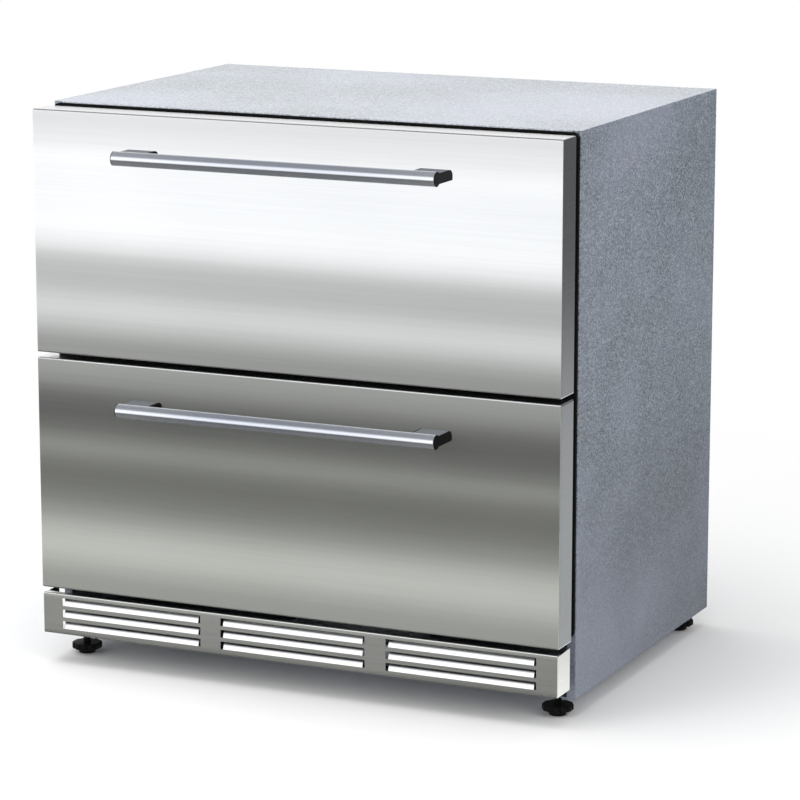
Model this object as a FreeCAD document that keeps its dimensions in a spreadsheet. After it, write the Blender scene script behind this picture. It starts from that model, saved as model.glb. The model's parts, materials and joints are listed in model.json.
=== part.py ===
import FreeCAD, Part

import os

import Sketcher

# Undercounter drawer refrigerator, in millimetres.
# +Z is up, the drawer fronts face -Y and +X is to the right of someone facing them.
# The origin lies on the floor, under the centre of the whole cabinet with its handles.

# ---------------------------------------------------------------- driving sizes

SIZES = {
    # Cabinet shell
    "cabinet_width": 876,
    "cabinet_height": 852,
    "cabinet_depth": 579,
    "foot_height": 30,
    "skin": 1.0,
    "panel_flange": 14,
    "side_wall": 45,
    "top_wall": 45,
    "rear_wall": 50,
    "floor_wall": 35,
    "liner_wall": 1.5,
    # Machine compartment under and behind the lower drawer
    "deck_height": 95,
    "hump_height": 185,
    "hump_depth": 215,
    "pan_sheet": 1.5,
    "vent_width": 8,
    "vent_height": 70,
    "vent_pitch": 26,
    # Power inlet
    "inlet_inset": 108,
    "inlet_rise": 50,
    "inlet_width": 27,
    "inlet_height": 20,
    "inlet_depth": 24,
    "inlet_wall": 2,
    "inlet_border": 6,
    "inlet_pin_pitch": 7,
    "inlet_pin_rise": 5,
    "inlet_pin_width": 2,
    "inlet_pin_height": 4,
    # Front frame and mullion
    "frame_thickness": 5,
    "frame_inset": 2,
    "frame_corner": 10,
    "mullion_height": 40,
    "mullion_depth": 40,
    # Drawer fronts
    "front_thickness": 48,
    "seal_gap": 20,
    "top_reveal": 4.6,
    "upper_front_height": 378,
    "front_gap": 8,
    "front_lift": 93.4,
    "front_skin": 1.2,
    "front_bend": 2.5,
    "inner_panel": 3,
    "gasket_inset": 3,
    "gasket_width": 14,
    "gasket_corner": 8,
    # Handles
    "bar_radius": 11,
    "bar_wall": 1.5,
    "bar_length": 531,
    "bar_standoff": 55,
    "bar_drop": 60,
    "arm_width": 47,
    "arm_height": 16,
    "arm_shoulder": 10,
    "arm_heel": 1.5,
    "cap_thickness": 3,
    "cap_plug": 12,
    "handle_screw_radius": 2.5,
    "handle_screw_head": 4.5,
    "handle_screw_head_height": 4,
    "handle_screw_reach": 20,
    "handle_screw_pitch": 24,
    "handle_screw_drop": 2.5,
    # Drawer bins and telescopic slides
    "bin_wall": 2,
    "bin_air_gap": 27,
    "bin_clearance": 12,
    "bin_headroom": 45,
    "bin_rim": 6,
    "slide_space": 16,
    "slide_half_height": 23,
    "slide_sheet": 1.5,
    "slide_gap": 0.4,
    "slide_lip": 14,
    "slide_setback": 8,
    "upper_slide_rise": 50,
    "lower_slide_rise": 50,
    # Toe grille
    "grille_gap": 8.4,
    "grille_lift": 19.5,
    "grille_inset": 1.5,
    "grille_sheet": 1.2,
    "grille_return": 10,
    "louvre_width": 245,
    "louvre_spacing": 280,
    "louvre_height": 12.3,
    "louvre_pitch": 18.5,
    "louvre_margin": 7,
    "louvre_lean": 8,
    "louvre_end_gap": 2.6,
    "bracket_width": 50,
    "bracket_inset": 30,
    # Levelling feet
    "foot_inset": 33,
    "front_foot_setback": 12,
    "rear_foot_setback": 45,
    "pad_radius": 13.5,
    "pad_height": 7.5,
    "collar_radius": 24,
    "collar_height": 9.5,
    "foot_edge": 1.5,
    "grip_radius": 2.5,
    "stem_radius": 6,
    "stem_grip": 26,
    "boss_wall": 5,
    "boss_height": 28,
    # Compressor and its mounts
    "compressor_x": 120,
    "compressor_setback": 110,
    "compressor_radius": 62,
    "compressor_height": 128,
    "compressor_seam": 4,
    "compressor_plate": 2.5,
    "plate_length": 180,
    "plate_width": 140,
    "plate_stud_inset": 14,
    "mount_radius": 10,
    "mount_height": 12,
    "mount_stud": 4,
    "terminal_width": 48,
    "terminal_height": 40,
    "terminal_depth": 18,
    # Finned coils
    "tube_radius": 3.5,
    "tube_stub": 5,
    "fin_sheet": 0.8,
    "fin_pitch": 10,
    "condenser_inset": 47,
    "condenser_setback": 12,
    "condenser_length": 250,
    "condenser_depth": 44,
    "condenser_height": 165,
    "condenser_lift": 12,
    "evaporator_length": 360,
    "evaporator_depth": 38,
    "evaporator_height": 125,
    "evaporator_rise": 330,
    # Refrigerant lines and drier
    "line_offset": 32,
    "line_bore": 8,
    "line_bend": 9,
    "discharge_offset": 50,
    "capillary_radius": 1,
    "capillary_gap": 0.2,
    "capillary_dip": 18,
    "drier_offset": 45,
    "drier_rise": 42,
    "drier_length": 90,
    "drier_radius": 9,
    "drier_neck": 4.5,
    "drier_neck_length": 6,
    "drier_shoulder": 8,
    # Fans
    "condenser_fan_radius": 68,
    "evaporator_fan_radius": 44,
    "fan_clearance": 4,
    "fan_setback": 3,
    "shaft_radius": 3,
    "shroud_gap": 6,
    "shroud_sheet": 1.5,
    "shroud_leg": 8,
    "shroud_bar": 4,
    "shroud_depth": 70,
    "condenser_motor_radius": 22,
    "condenser_motor_depth": 38,
    "motor_gap": 4,
    "motor_bore_depth": 19,
    "shaft_in_motor": 16,
    "evaporator_fan_drop": 66,
    "evaporator_motor_radius": 17,
    "evaporator_motor_depth": 20,
    "evaporator_bore_depth": 13,
    "evaporator_shaft_in_motor": 10,
    "motor_post_radius": 8,
    "motor_post_length": 18,
    "motor_plate": 3,
    "motor_plate_width": 70,
    # Cover over the evaporator
    "cover_side": 50,
    "cover_depth": 62,
    "cover_wall": 2,
    "cover_below": 25,
    "cover_top_drop": 7,
    "intake_width": 30,
    "intake_height": 6,
    "intake_pitch": 42,
    "intake_rise": 10,
    # Drain pan
    "drain_setback": 70,
    "drain_width": 200,
    "drain_depth": 150,
    "drain_height": 24,
    "drain_wall": 2,
    # Controls and lamp
    "housing_half_width": 85,
    "housing_depth": 56,
    "housing_height": 22,
    "housing_setback": 14,
    "housing_wall": 2,
    "button_radius": 4.5,
    "button_flange": 1.5,
    "button_pitch": 18,
    "button_proud": 1.5,
    "button_travel": 1.2,
    "display_width": 50,
    "display_height": 12,
    "display_border": 2,
    "board_gap": 9,
    "lens_half_width": 140,
    "lens_depth": 30,
    "lens_height": 8,
    "lens_gap": 30,
    # Fits
    "part_clearance": 0.3,
    "running_clearance": 0.05,
    # Rear fixings
    "screw_radius": 2,
    "screw_head_radius": 4,
    "screw_head": 2,
    "screw_reach": 8,
    "anti_tip_spacing": 400,
    "anti_tip_radius": 2.5,
    "anti_tip_drop": 60,
    "anti_tip_depth": 20,
}

document = FreeCAD.newDocument("DrawerRefrigerator")
sheet = document.addObject("Spreadsheet::Sheet", "Sizes")
for row, (alias, number) in enumerate(SIZES.items(), start=1):
    sheet.set(f"A{row}", alias)
    sheet.set(f"B{row}", str(number))
    sheet.setAlias(f"B{row}", alias)
document.recompute()


class Length:
    """A number together with the sheet formula that it comes from."""

    def __init__(self, formula, number):
        self.formula = formula
        self.number = number

    def __float__(self):
        return float(self.number)

    def __neg__(self):
        return Length(f"-({self.formula})", -self.number)

    def __add__(self, other):
        other = length(other)
        return Length(f"({self.formula} + {other.formula})", self.number + other.number)

    def __sub__(self, other):
        other = length(other)
        return Length(f"({self.formula} - {other.formula})", self.number - other.number)

    def __mul__(self, other):
        other = length(other)
        return Length(f"({self.formula} * {other.formula})", self.number * other.number)

    def __truediv__(self, other):
        other = length(other)
        return Length(f"({self.formula} / {other.formula})", self.number / other.number)

    def __radd__(self, other):
        return length(other) + self

    def __rsub__(self, other):
        return length(other) - self

    def __rmul__(self, other):
        return length(other) * self


def length(value):
    """Makes a plain number usable beside lengths from the sheet."""
    if isinstance(value, Length):
        return value
    return Length(repr(float(value)), float(value))


class Sizes:
    """Each driving size as an attribute, bound to its cell."""

    def __init__(self):
        for name in SIZES:
            setattr(self, name, Length(f"Sizes.{name}", float(sheet.get(name))))


size = Sizes()

# ---------------------------------------------------------------- shared planes

half_width = size.cabinet_width / 2
inside_half = half_width - size.skin
base_z = size.foot_height
top_z = base_z + size.cabinet_height
handle_reach = size.bar_standoff + size.bar_radius
overall_depth = (handle_reach + size.front_thickness + size.seal_gap + size.cabinet_depth
                 + size.screw_head)
face_y = handle_reach - overall_depth / 2
seal_y = face_y + size.front_thickness
body_y = seal_y + size.seal_gap
rear_y = body_y + size.cabinet_depth

upper_top = top_z - size.top_reveal
upper_bottom = upper_top - size.upper_front_height
lower_top = upper_bottom - size.front_gap
lower_bottom = base_z + size.front_lift
grille_top = lower_bottom - size.grille_gap
grille_bottom = base_z + size.grille_lift

room_half = half_width - size.side_wall
room_top = top_z - size.top_wall
room_rear = rear_y - size.rear_wall
deck_z = base_z + size.deck_height
room_floor = deck_z + size.floor_wall
hump_under = base_z + size.hump_height
hump_floor = hump_under + size.floor_wall
hump_y = rear_y - size.hump_depth
hump_face = hump_y - size.floor_wall
panel_y = rear_y - size.skin
mullion_z = (upper_bottom + lower_top) / 2
mullion_top = mullion_z + size.mullion_height / 2
mullion_bottom = mullion_z - size.mullion_height / 2
pan_top = base_z + size.pan_sheet

# Screw places up the rear edges, shared by every sheet that they pass through.
fixing_x = half_width - size.panel_flange / 2
COVER_FIXING_STEPS = (0.16, 0.84)
PANEL_FIXING_STEPS = (0.06, 0.36, 0.66, 0.95)
cover_fixing_z = [base_z + size.hump_height * step for step in COVER_FIXING_STEPS]
panel_fixing_z = [hump_under + (top_z - hump_under) * step for step in PANEL_FIXING_STEPS]
anti_tip_z = top_z - size.anti_tip_drop

# The coils, each with two columns of tubes, placed as shares of its depth.
CONDENSER_ROWS = 6
EVAPORATOR_ROWS = 4
FRONT_COLUMN = 0.25
REAR_COLUMN = 0.75
evaporator_front = room_rear - size.evaporator_depth
evaporator_bottom = hump_floor + size.evaporator_rise
condenser_left = size.condenser_inset - inside_half
condenser_front = hump_y + size.condenser_setback
condenser_bottom = pan_top + size.condenser_lift
condenser_stack = size.condenser_height - size.condenser_lift
cover_front = room_rear - size.cover_depth


def row_z(bottom, height, rows, row):
    """How high one row of a coil's tubes lies."""
    return bottom + height * ((row + 0.5) / rows)


# The suction line runs down inside the rear wall from the top row of the evaporator.
suction_x = size.evaporator_length / 2 + size.line_offset
suction_y = rear_y - size.rear_wall / 2
suction_z = row_z(evaporator_bottom, size.evaporator_height, EVAPORATOR_ROWS, EVAPORATOR_ROWS - 1)

# ---------------------------------------------------------------- modelling helpers

parts = []
PLANES = {"X": "YZ_Plane", "Y": "XZ_Plane", "Z": "XY_Plane"}


def bind(target, prop, value):
    """Ties a property to its formula."""
    target.setExpression(prop, length(value).formula)


def body(name):
    """Starts a sub-part whose label names its file."""
    item = document.addObject("PartDesign::Body", name)
    item.Label = name
    parts.append(item)
    return item


def sketch_on(owner, axis, low, high, from_high):
    """Puts a sketch square to an axis, at the end from which the feature runs."""
    sketch = owner.newObject("Sketcher::SketchObject", f"{owner.Name}_outline")
    plane = [item for item in owner.Origin.OriginFeatures if item.Role == PLANES[axis]][0]
    sketch.AttachmentSupport = [(plane, "")]
    sketch.MapMode = "FlatFace"
    level = high if from_high else low
    if axis == "Y":
        level = -length(low if from_high else high)
    bind(sketch, "AttachmentOffset.Base.z", level)
    return sketch


def pin(sketch, kind, item, spot, value):
    """Holds one coordinate of a sketch point to its formula."""
    value = length(value)
    index = sketch.addConstraint(Sketcher.Constraint(kind, -1, 1, item, spot, float(value)))
    sketch.setExpression(f"Constraints[{index}]", value.formula)


def draw_polygon(sketch, corners):
    """Draws a closed outline with every corner held by the sheet."""
    first = sketch.GeometryCount
    points = [FreeCAD.Vector(float(length(u)), float(length(v)), 0) for u, v in corners]
    for start, end in zip(points, points[1:] + points[:1]):
        sketch.addGeometry(Part.LineSegment(start, end), False)
    for index in range(len(corners)):
        following = first + (index + 1) % len(corners)
        sketch.addConstraint(Sketcher.Constraint("Coincident", first + index, 2, following, 1))
    for index, (u, v) in enumerate(corners):
        pin(sketch, "DistanceX", first + index, 1, u)
        pin(sketch, "DistanceY", first + index, 1, v)


def draw_circle(sketch, centre, radius):
    """Draws a circle with its centre and radius held by the sheet."""
    u, v = (length(value) for value in centre)
    radius = length(radius)
    middle = FreeCAD.Vector(float(u), float(v), 0)
    item = sketch.addGeometry(Part.Circle(middle, FreeCAD.Vector(0, 0, 1), float(radius)), False)
    pin(sketch, "DistanceX", item, 3, u)
    pin(sketch, "DistanceY", item, 3, v)
    index = sketch.addConstraint(Sketcher.Constraint("Radius", item, float(radius)))
    sketch.setExpression(f"Constraints[{index}]", radius.formula)


def feature(owner, kind, axis, low, high, polygons, circles):
    """Runs a pad or a pocket along an axis from low to high."""
    cutting = kind == "PartDesign::Pocket"
    before = owner.Shape.Volume if cutting else 0
    sketch = sketch_on(owner, axis, low, high, cutting)
    for corners in polygons:
        draw_polygon(sketch, corners)
    for centre, radius in circles:
        draw_circle(sketch, centre, radius)
    item = owner.newObject(kind, f"{owner.Name}_{kind[12:].lower()}")
    item.Profile = sketch
    bind(item, "Length", length(high) - length(low))
    document.recompute()
    if cutting and owner.Shape.Volume > before - 1e-3:
        raise RuntimeError(f"{owner.Label}: a pocket cut nothing")
    return item


def pad(owner, axis, low, high, polygons=(), circles=()):
    return feature(owner, "PartDesign::Pad", axis, low, high, polygons, circles)


def pocket(owner, axis, low, high, polygons=(), circles=()):
    return feature(owner, "PartDesign::Pocket", axis, low, high, polygons, circles)


def fillet(owner, base, radius, chosen):
    """Rounds the edges of the last feature that a test on each edge picks."""
    names = [f"Edge{index}" for index, edge in enumerate(base.Shape.Edges, start=1) if chosen(edge)]
    item = owner.newObject("PartDesign::Fillet", f"{owner.Name}_round")
    item.Base = (base, names)
    bind(item, "Radius", radius)
    document.recompute()
    return item


def revolve(owner, corners):
    """Turns an outline of radius and height around the piece's own Z axis."""
    sketch = sketch_on(owner, "Y", 0, 0, False)
    draw_polygon(sketch, corners)
    item = owner.newObject("PartDesign::Revolution", f"{owner.Name}_turned")
    item.Profile = sketch
    item.ReferenceAxis = (sketch, ["V_Axis"])
    item.Angle = 360
    document.recompute()
    return item


def place(owner, x, y, z):
    """Sets where a piece stands."""
    bind(owner, "Placement.Base.x", x)
    bind(owner, "Placement.Base.y", y)
    bind(owner, "Placement.Base.z", z)


def rectangle(left, right, bottom, top):
    return [(left, bottom), (right, bottom), (right, top), (left, top)]


def both_sides(corners):
    """An outline and its mirror image about the middle plane."""
    return [[(sign * length(u), v) for u, v in corners] for sign in (-1, 1)]


def along(axis):
    """Picks straight edges that run along an axis."""
    direction = FreeCAD.Vector(axis == "X", axis == "Y", axis == "Z")

    def chosen(edge):
        if edge.Curve.TypeId != "Part::GeomLine":
            return False
        return abs(edge.Curve.Direction.dot(direction)) > 0.999
    return chosen


def block(name, x, y, z):
    """A plain box between two limits on each axis."""
    item = document.addObject("Part::Box", name)
    for prop, (low, high) in zip(("Length", "Width", "Height"), (x, y, z)):
        bind(item, prop, length(high) - length(low))
    place(item, x[0], y[0], z[0])
    return item


TURNS = {"X": FreeCAD.Rotation(FreeCAD.Vector(0, 1, 0), 90),
         "Y": FreeCAD.Rotation(FreeCAD.Vector(1, 0, 0), -90),
         "Z": FreeCAD.Rotation()}


def rod(name, axis, radius, start, run):
    """A round bar that runs along an axis from its start."""
    item = document.addObject("Part::Cylinder", name)
    item.Placement = FreeCAD.Placement(FreeCAD.Vector(), TURNS[axis])
    bind(item, "Radius", radius)
    bind(item, "Height", run)
    place(item, *start)
    return item


def sub_part(item, name):
    """Lists a finished object as a sub-part."""
    item.Label = name
    parts.append(item)
    return item


def fuse(name, pieces):
    item = document.addObject("Part::MultiFuse", name)
    item.Shapes = pieces
    return item


def cut(name, base, tool):
    item = document.addObject("Part::Cut", name)
    item.Base = base
    item.Tool = tool
    return item


# ---------------------------------------------------------------- cabinet shell

def side_panel(name, sign):
    """A folded side sheet with a flange at the front and the rear edge."""
    outer = sign * half_width
    inner = sign * inside_half
    lip = sign * (half_width - size.panel_flange)
    owner = body(name)
    pad(owner, "Z", base_z, top_z, [[
        (outer, body_y), (outer, rear_y), (lip, rear_y), (lip, panel_y),
        (inner, panel_y), (inner, body_y + size.skin), (lip, body_y + size.skin), (lip, body_y)]])
    holes = [((sign * fixing_x, z), size.screw_radius) for z in cover_fixing_z + panel_fixing_z]
    pocket(owner, "Y", panel_y, rear_y, circles=holes)


def top_panel():
    """The lid sheet, with its front and rear edges folded down."""
    owner = body("top_panel")
    lip_z = top_z - size.panel_flange
    under_z = top_z - size.skin
    pad(owner, "Z", under_z, top_z, [rectangle(-inside_half, inside_half, body_y + size.skin, panel_y)])
    reach = half_width - size.panel_flange
    pad(owner, "X", -reach, reach, [rectangle(body_y, body_y + size.skin, lip_z, top_z)])
    pad(owner, "X", -reach, reach, [rectangle(panel_y, rear_y, lip_z, top_z)])


def rear_panel():
    """The flat rear sheet behind the insulation, with two anti-tip bracket holes."""
    owner = body("rear_panel")
    pad(owner, "Y", panel_y - size.skin, panel_y,
        [rectangle(-inside_half, inside_half, hump_under, top_z - size.skin)])
    holes = [((sign * fixing_x, z), size.screw_radius) for sign in (-1, 1) for z in panel_fixing_z]
    holes += anti_tip_holes()
    pocket(owner, "Y", panel_y - size.skin, panel_y, circles=holes)


def anti_tip_holes():
    return [((sign * size.anti_tip_spacing / 2, anti_tip_z), size.anti_tip_radius) for sign in (-1, 1)]


def deck_panel():
    """The stepped sheet between the insulation and the machine compartment."""
    owner = body("deck_panel")
    back = panel_y - size.skin
    fold = back - size.skin
    pad(owner, "X", -inside_half, inside_half, [[
        (body_y + size.skin, deck_z), (hump_y, deck_z), (hump_y, hump_under), (fold, hump_under),
        (fold, hump_under - size.panel_flange), (back, hump_under - size.panel_flange),
        (back, hump_under + size.skin), (hump_y - size.skin, hump_under + size.skin),
        (hump_y - size.skin, deck_z + size.skin), (body_y + size.skin, deck_z + size.skin)]])
    pocket(owner, "Z", hump_under, hump_under + size.skin,
           circles=[((suction_x, suction_y), size.line_bore)])


def stepped_outline(front, rear, step, floor, raised, ceiling):
    """The side outline of the insulated room, which steps up over the machine compartment."""
    return [(front, floor), (step, floor), (step, raised), (rear, raised), (rear, ceiling), (front, ceiling)]


def room_outline(grow):
    """The outline of the food room, grown by a wall thickness where there is a wall."""
    return stepped_outline(body_y, room_rear + grow, hump_face + grow, room_floor - grow,
                           hump_floor - grow, room_top + grow)


def foam_insulation():
    """Foam that fills the space between the sheets and the liner."""
    owner = body("foam_insulation")
    back = panel_y - size.skin
    front = body_y + size.skin
    pad(owner, "X", -inside_half, inside_half, [stepped_outline(
        front, back, hump_y - size.skin, deck_z + size.skin, hump_under + size.skin, top_z - size.skin)])
    outer_half = room_half + size.liner_wall
    pocket(owner, "X", -outer_half, outer_half, [room_outline(size.liner_wall)])
    sockets = [((sign * fixing_x, z), size.screw_radius) for sign in (-1, 1) for z in panel_fixing_z]
    pocket(owner, "Y", rear_y - size.screw_reach, back, circles=sockets)
    pocket(owner, "Y", back - size.anti_tip_depth, back, circles=anti_tip_holes())
    pocket(owner, "Z", hump_under, suction_z + size.line_bore,
           circles=[((suction_x, suction_y), size.line_bore)])
    pocket(owner, "Y", room_rear, suction_y + size.line_bore,
           circles=[((suction_x, suction_z), size.line_bore)])


def inner_liner():
    """The moulded food room, open at the front."""
    owner = body("inner_liner")
    outer_half = room_half + size.liner_wall
    pad(owner, "X", -outer_half, outer_half, [room_outline(size.liner_wall)])
    pocket(owner, "X", -room_half, room_half, [room_outline(length(0))])
    pocket(owner, "Y", room_rear, room_rear + size.liner_wall,
           circles=[((suction_x, suction_z), size.line_bore)])


def front_frame():
    """The black frame that both gaskets close against, with the bar between the two openings."""
    owner = body("front_frame")
    reach = half_width - size.frame_inset
    front = body_y - size.frame_thickness
    plate = pad(owner, "Y", front, body_y,
                [rectangle(-reach, reach, deck_z, top_z - size.frame_inset)])
    fillet(owner, plate, size.frame_corner, along("Y"))
    pocket(owner, "Y", front, body_y, [
        rectangle(-room_half, room_half, room_floor, mullion_bottom),
        rectangle(-room_half, room_half, mullion_top, room_top)])
    pad(owner, "X", -room_half, room_half,
        [rectangle(body_y, body_y + size.mullion_depth, mullion_bottom, mullion_top)])


VENT_COUNT = 9
inlet_left = size.inlet_inset - size.inlet_width / 2 - half_width
inlet_right = inlet_left + size.inlet_width
inlet_bottom = base_z + size.inlet_rise - size.inlet_height / 2
inlet_top = inlet_bottom + size.inlet_height


def machine_cover():
    """The lower rear sheet, with breathing slots and a cut-out for the power inlet."""
    owner = body("machine_cover")
    front = panel_y - size.skin
    pad(owner, "Y", front, panel_y,
        [rectangle(-inside_half, inside_half, base_z, hump_under - size.part_clearance)])
    low = base_z + size.hump_height / 2 - size.vent_height / 2
    openings = [rectangle(inlet_left, inlet_right, inlet_bottom, inlet_top)]
    for index in range(VENT_COUNT):
        left = size.compressor_x + size.vent_pitch * (index - VENT_COUNT / 2)
        openings.append(rectangle(left, left + size.vent_width, low, low + size.vent_height))
    holes = [((sign * fixing_x, z), size.screw_radius) for sign in (-1, 1) for z in cover_fixing_z]
    pocket(owner, "Y", front, panel_y, openings, holes)


def power_inlet():
    """The recessed three-pin inlet for a plug-in lead."""
    owner = body("power_inlet")
    front = panel_y - size.inlet_depth
    border = size.inlet_border
    wall = size.inlet_wall
    pad(owner, "Y", front, panel_y, [rectangle(inlet_left, inlet_right, inlet_bottom, inlet_top)])
    pad(owner, "Y", panel_y, rear_y, [rectangle(
        inlet_left - border, inlet_right + border, inlet_bottom - border, inlet_top + border)])
    pocket(owner, "Y", front + wall, rear_y, [rectangle(
        inlet_left + wall, inlet_right - wall, inlet_bottom + wall, inlet_top - wall)])
    middle_x = (inlet_left + inlet_right) / 2
    middle_z = (inlet_bottom + inlet_top - size.inlet_pin_rise) / 2
    pins = []
    for step in (-1, 0, 1):
        left = middle_x + step * size.inlet_pin_pitch - size.inlet_pin_width / 2
        low = middle_z - size.inlet_pin_height / 2 + (size.inlet_pin_rise if step == 0 else 0)
        pins.append(rectangle(left, left + size.inlet_pin_width, low, low + size.inlet_pin_height))
    pad(owner, "Y", front + wall, panel_y - wall, pins)


def cabinet_screws():
    """Pan-head screws up both rear edges of the cabinet."""
    owner = body("cabinet_screws")
    places = [(sign * fixing_x, z) for sign in (-1, 1) for z in cover_fixing_z + panel_fixing_z]
    heads = [(spot, size.screw_head_radius) for spot in places]
    shanks = [(spot, size.screw_radius) for spot in places]
    pad(owner, "Y", rear_y, rear_y + size.screw_head, circles=heads)
    pad(owner, "Y", rear_y - size.screw_reach, rear_y, circles=shanks)


# ---------------------------------------------------------------- base, feet and toe grille

def foot_places():
    """Name, x and y of each levelling foot."""
    reach = half_width - size.foot_inset
    front = body_y + size.front_foot_setback
    rear = rear_y - size.rear_foot_setback
    return [("foot_front_left", -reach, front), ("foot_front_right", reach, front),
            ("foot_rear_left", -reach, rear), ("foot_rear_right", reach, rear)]


def base_pan():
    """The floor tray that carries the machinery, the feet and the grille brackets."""
    owner = body("base_pan")
    back = panel_y - size.skin
    front = body_y + size.skin
    pad(owner, "Z", base_z, pan_top, [rectangle(-inside_half, inside_half, front, back)])
    edge = pan_top + size.panel_flange
    pad(owner, "X", -inside_half, inside_half, [rectangle(back - size.pan_sheet, back, pan_top, edge)])
    for sign in (-1, 1):
        outer = sign * inside_half
        inner = sign * (inside_half - size.pan_sheet)
        pad(owner, "Z", pan_top, edge, [rectangle(outer, inner, front, back)])
    spots = [(x, y) for _, x, y in foot_places()]
    bore = size.stem_radius + size.running_clearance
    bosses = [(spot, bore + size.boss_wall) for spot in spots]
    pad(owner, "Z", pan_top, base_z + size.boss_height, circles=bosses)
    shelf = grille_bottom + size.grille_sheet
    leg = front + size.pan_sheet
    tip = face_y + size.grille_return
    step = [(leg, pan_top), (leg, shelf + size.pan_sheet), (tip, shelf + size.pan_sheet), (tip, shelf),
            (front, shelf), (front, pan_top)]
    for sign in (-1, 1):
        outer = sign * (half_width - size.bracket_inset)
        inner = sign * (half_width - size.bracket_inset - size.bracket_width)
        low, high = (inner, outer) if sign > 0 else (outer, inner)
        pad(owner, "X", low, high, [step])
    pocket(owner, "Z", base_z, base_z + size.boss_height, circles=[(spot, bore) for spot in spots])


GRIP_COUNT = 12


def levelling_foot(name, x, y):
    """A foot with a broad pad, a finger-grip collar and a stem that runs in its boss."""
    owner = body(name)
    collar_z = size.pad_height
    stem_z = collar_z + size.collar_height
    edge = size.foot_edge
    tip_z = base_z + size.stem_grip
    revolve(owner, [
        (0, 0), (size.pad_radius, 0), (size.pad_radius, collar_z - edge),
        (size.collar_radius - edge, collar_z), (size.collar_radius, collar_z + edge),
        (size.collar_radius, stem_z - edge), (size.collar_radius - edge, stem_z),
        (size.stem_radius, stem_z), (size.stem_radius, tip_z), (0, tip_z)])
    groove_x = size.collar_radius + size.grip_radius / 3
    groove = pocket(owner, "Z", collar_z, stem_z, circles=[((groove_x, 0), size.grip_radius)])
    pattern = owner.newObject("PartDesign::PolarPattern", f"{name}_grips")
    pattern.Originals = [groove]
    upright = [item for item in owner.Origin.OriginFeatures if item.Role == "Z_Axis"][0]
    pattern.Axis = (upright, [""])
    pattern.Angle = 360
    pattern.Occurrences = GRIP_COUNT
    owner.Tip = pattern
    document.recompute()
    place(owner, x, y, 0)


LOUVRE_ROWS = 3


def toe_grille():
    """The louvred panel below the drawers, folded from one sheet."""
    owner = body("toe_grille")
    reach = half_width - size.grille_inset
    sheet_y = face_y + size.grille_sheet
    folded = [
        (face_y, grille_bottom), (seal_y, grille_bottom), (seal_y, grille_bottom + size.grille_sheet),
        (sheet_y, grille_bottom + size.grille_sheet), (sheet_y, grille_top - size.grille_sheet),
        (face_y + size.grille_return, grille_top - size.grille_sheet),
        (face_y + size.grille_return, grille_top), (face_y, grille_top)]
    pad(owner, "X", -reach, reach, [folded])
    for low, high in ((-reach, size.grille_sheet - reach), (reach - size.grille_sheet, reach)):
        pad(owner, "X", low, high, [rectangle(face_y, seal_y, grille_bottom, grille_top)])
    top_sill = grille_top - size.louvre_margin - size.louvre_height
    rows = [top_sill - size.louvre_pitch * row for row in range(LOUVRE_ROWS)]
    groups = [size.louvre_spacing * column for column in (-1, 0, 1)]
    slots = [rectangle(middle - size.louvre_width / 2, middle + size.louvre_width / 2,
                       sill, sill + size.louvre_height) for middle in groups for sill in rows]
    pocket(owner, "Y", face_y, sheet_y, slots)
    blade_half = size.louvre_width / 2 - size.louvre_end_gap
    blades = []
    for sill in rows:
        tip_y = sheet_y + size.louvre_lean
        tip_z = sill + size.louvre_height - size.louvre_end_gap
        blades.append([(face_y + size.grille_sheet / 2, sill), (sheet_y, sill - size.grille_sheet / 2),
                       (tip_y, tip_z - size.grille_sheet), (tip_y - size.grille_sheet, tip_z)])
    for middle in groups:
        pad(owner, "X", middle - blade_half, middle + blade_half, blades)


# ---------------------------------------------------------------- drawer fronts and handles

def handle_screw_places(axis_z):
    """Where the four handle screws pass through a front."""
    middle = size.bar_length / 2 - size.arm_width / 2
    shifts = (-size.handle_screw_pitch / 2, size.handle_screw_pitch / 2)
    height = axis_z - size.handle_screw_drop
    return [(sign * (middle + shift), height) for sign in (-1, 1) for shift in shifts]


def drawer_front(prefix, bottom, top):
    """The stainless tray, its foam, inner panel and gasket."""
    skin = size.front_skin
    screws = handle_screw_places(top - size.bar_drop)

    tray = body(f"{prefix}_front_skin")
    outer = pad(tray, "Y", face_y, seal_y, [rectangle(-half_width, half_width, bottom, top)])
    limit = float(seal_y) - 1e-3
    fillet(tray, outer, size.front_bend, lambda edge: edge.BoundBox.YMin < limit)
    pocket(tray, "Y", face_y + skin, seal_y,
           [rectangle(skin - half_width, half_width - skin, bottom + skin, top - skin)])
    shank = size.handle_screw_radius + size.running_clearance
    pocket(tray, "Y", face_y, face_y + skin, circles=[(spot, shank) for spot in screws])

    foam = body(f"{prefix}_front_foam")
    inner_face = seal_y - size.inner_panel
    pad(foam, "Y", face_y + skin, inner_face,
        [rectangle(skin - half_width, half_width - skin, bottom + skin, top - skin)])
    heads = [(spot, size.handle_screw_head + size.part_clearance) for spot in screws]
    pocket(foam, "Y", face_y + skin, face_y + skin + size.handle_screw_head_height + size.part_clearance,
           circles=heads)

    inner = body(f"{prefix}_front_inner")
    pad(inner, "Y", inner_face, seal_y,
        [rectangle(skin - half_width, half_width - skin, bottom + skin, top - skin)])

    seal = body(f"{prefix}_gasket")
    depth = size.seal_gap - size.frame_thickness - size.part_clearance
    edge = half_width - size.gasket_inset
    ring = pad(seal, "Y", seal_y, seal_y + depth,
               [rectangle(-edge, edge, bottom + size.gasket_inset, top - size.gasket_inset)])
    fillet(seal, ring, size.gasket_corner, along("Y"))
    hole = edge - size.gasket_width
    rim = size.gasket_inset + size.gasket_width
    pocket(seal, "Y", seal_y, seal_y + depth, [rectangle(-hole, hole, bottom + rim, top - rim)])


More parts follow.
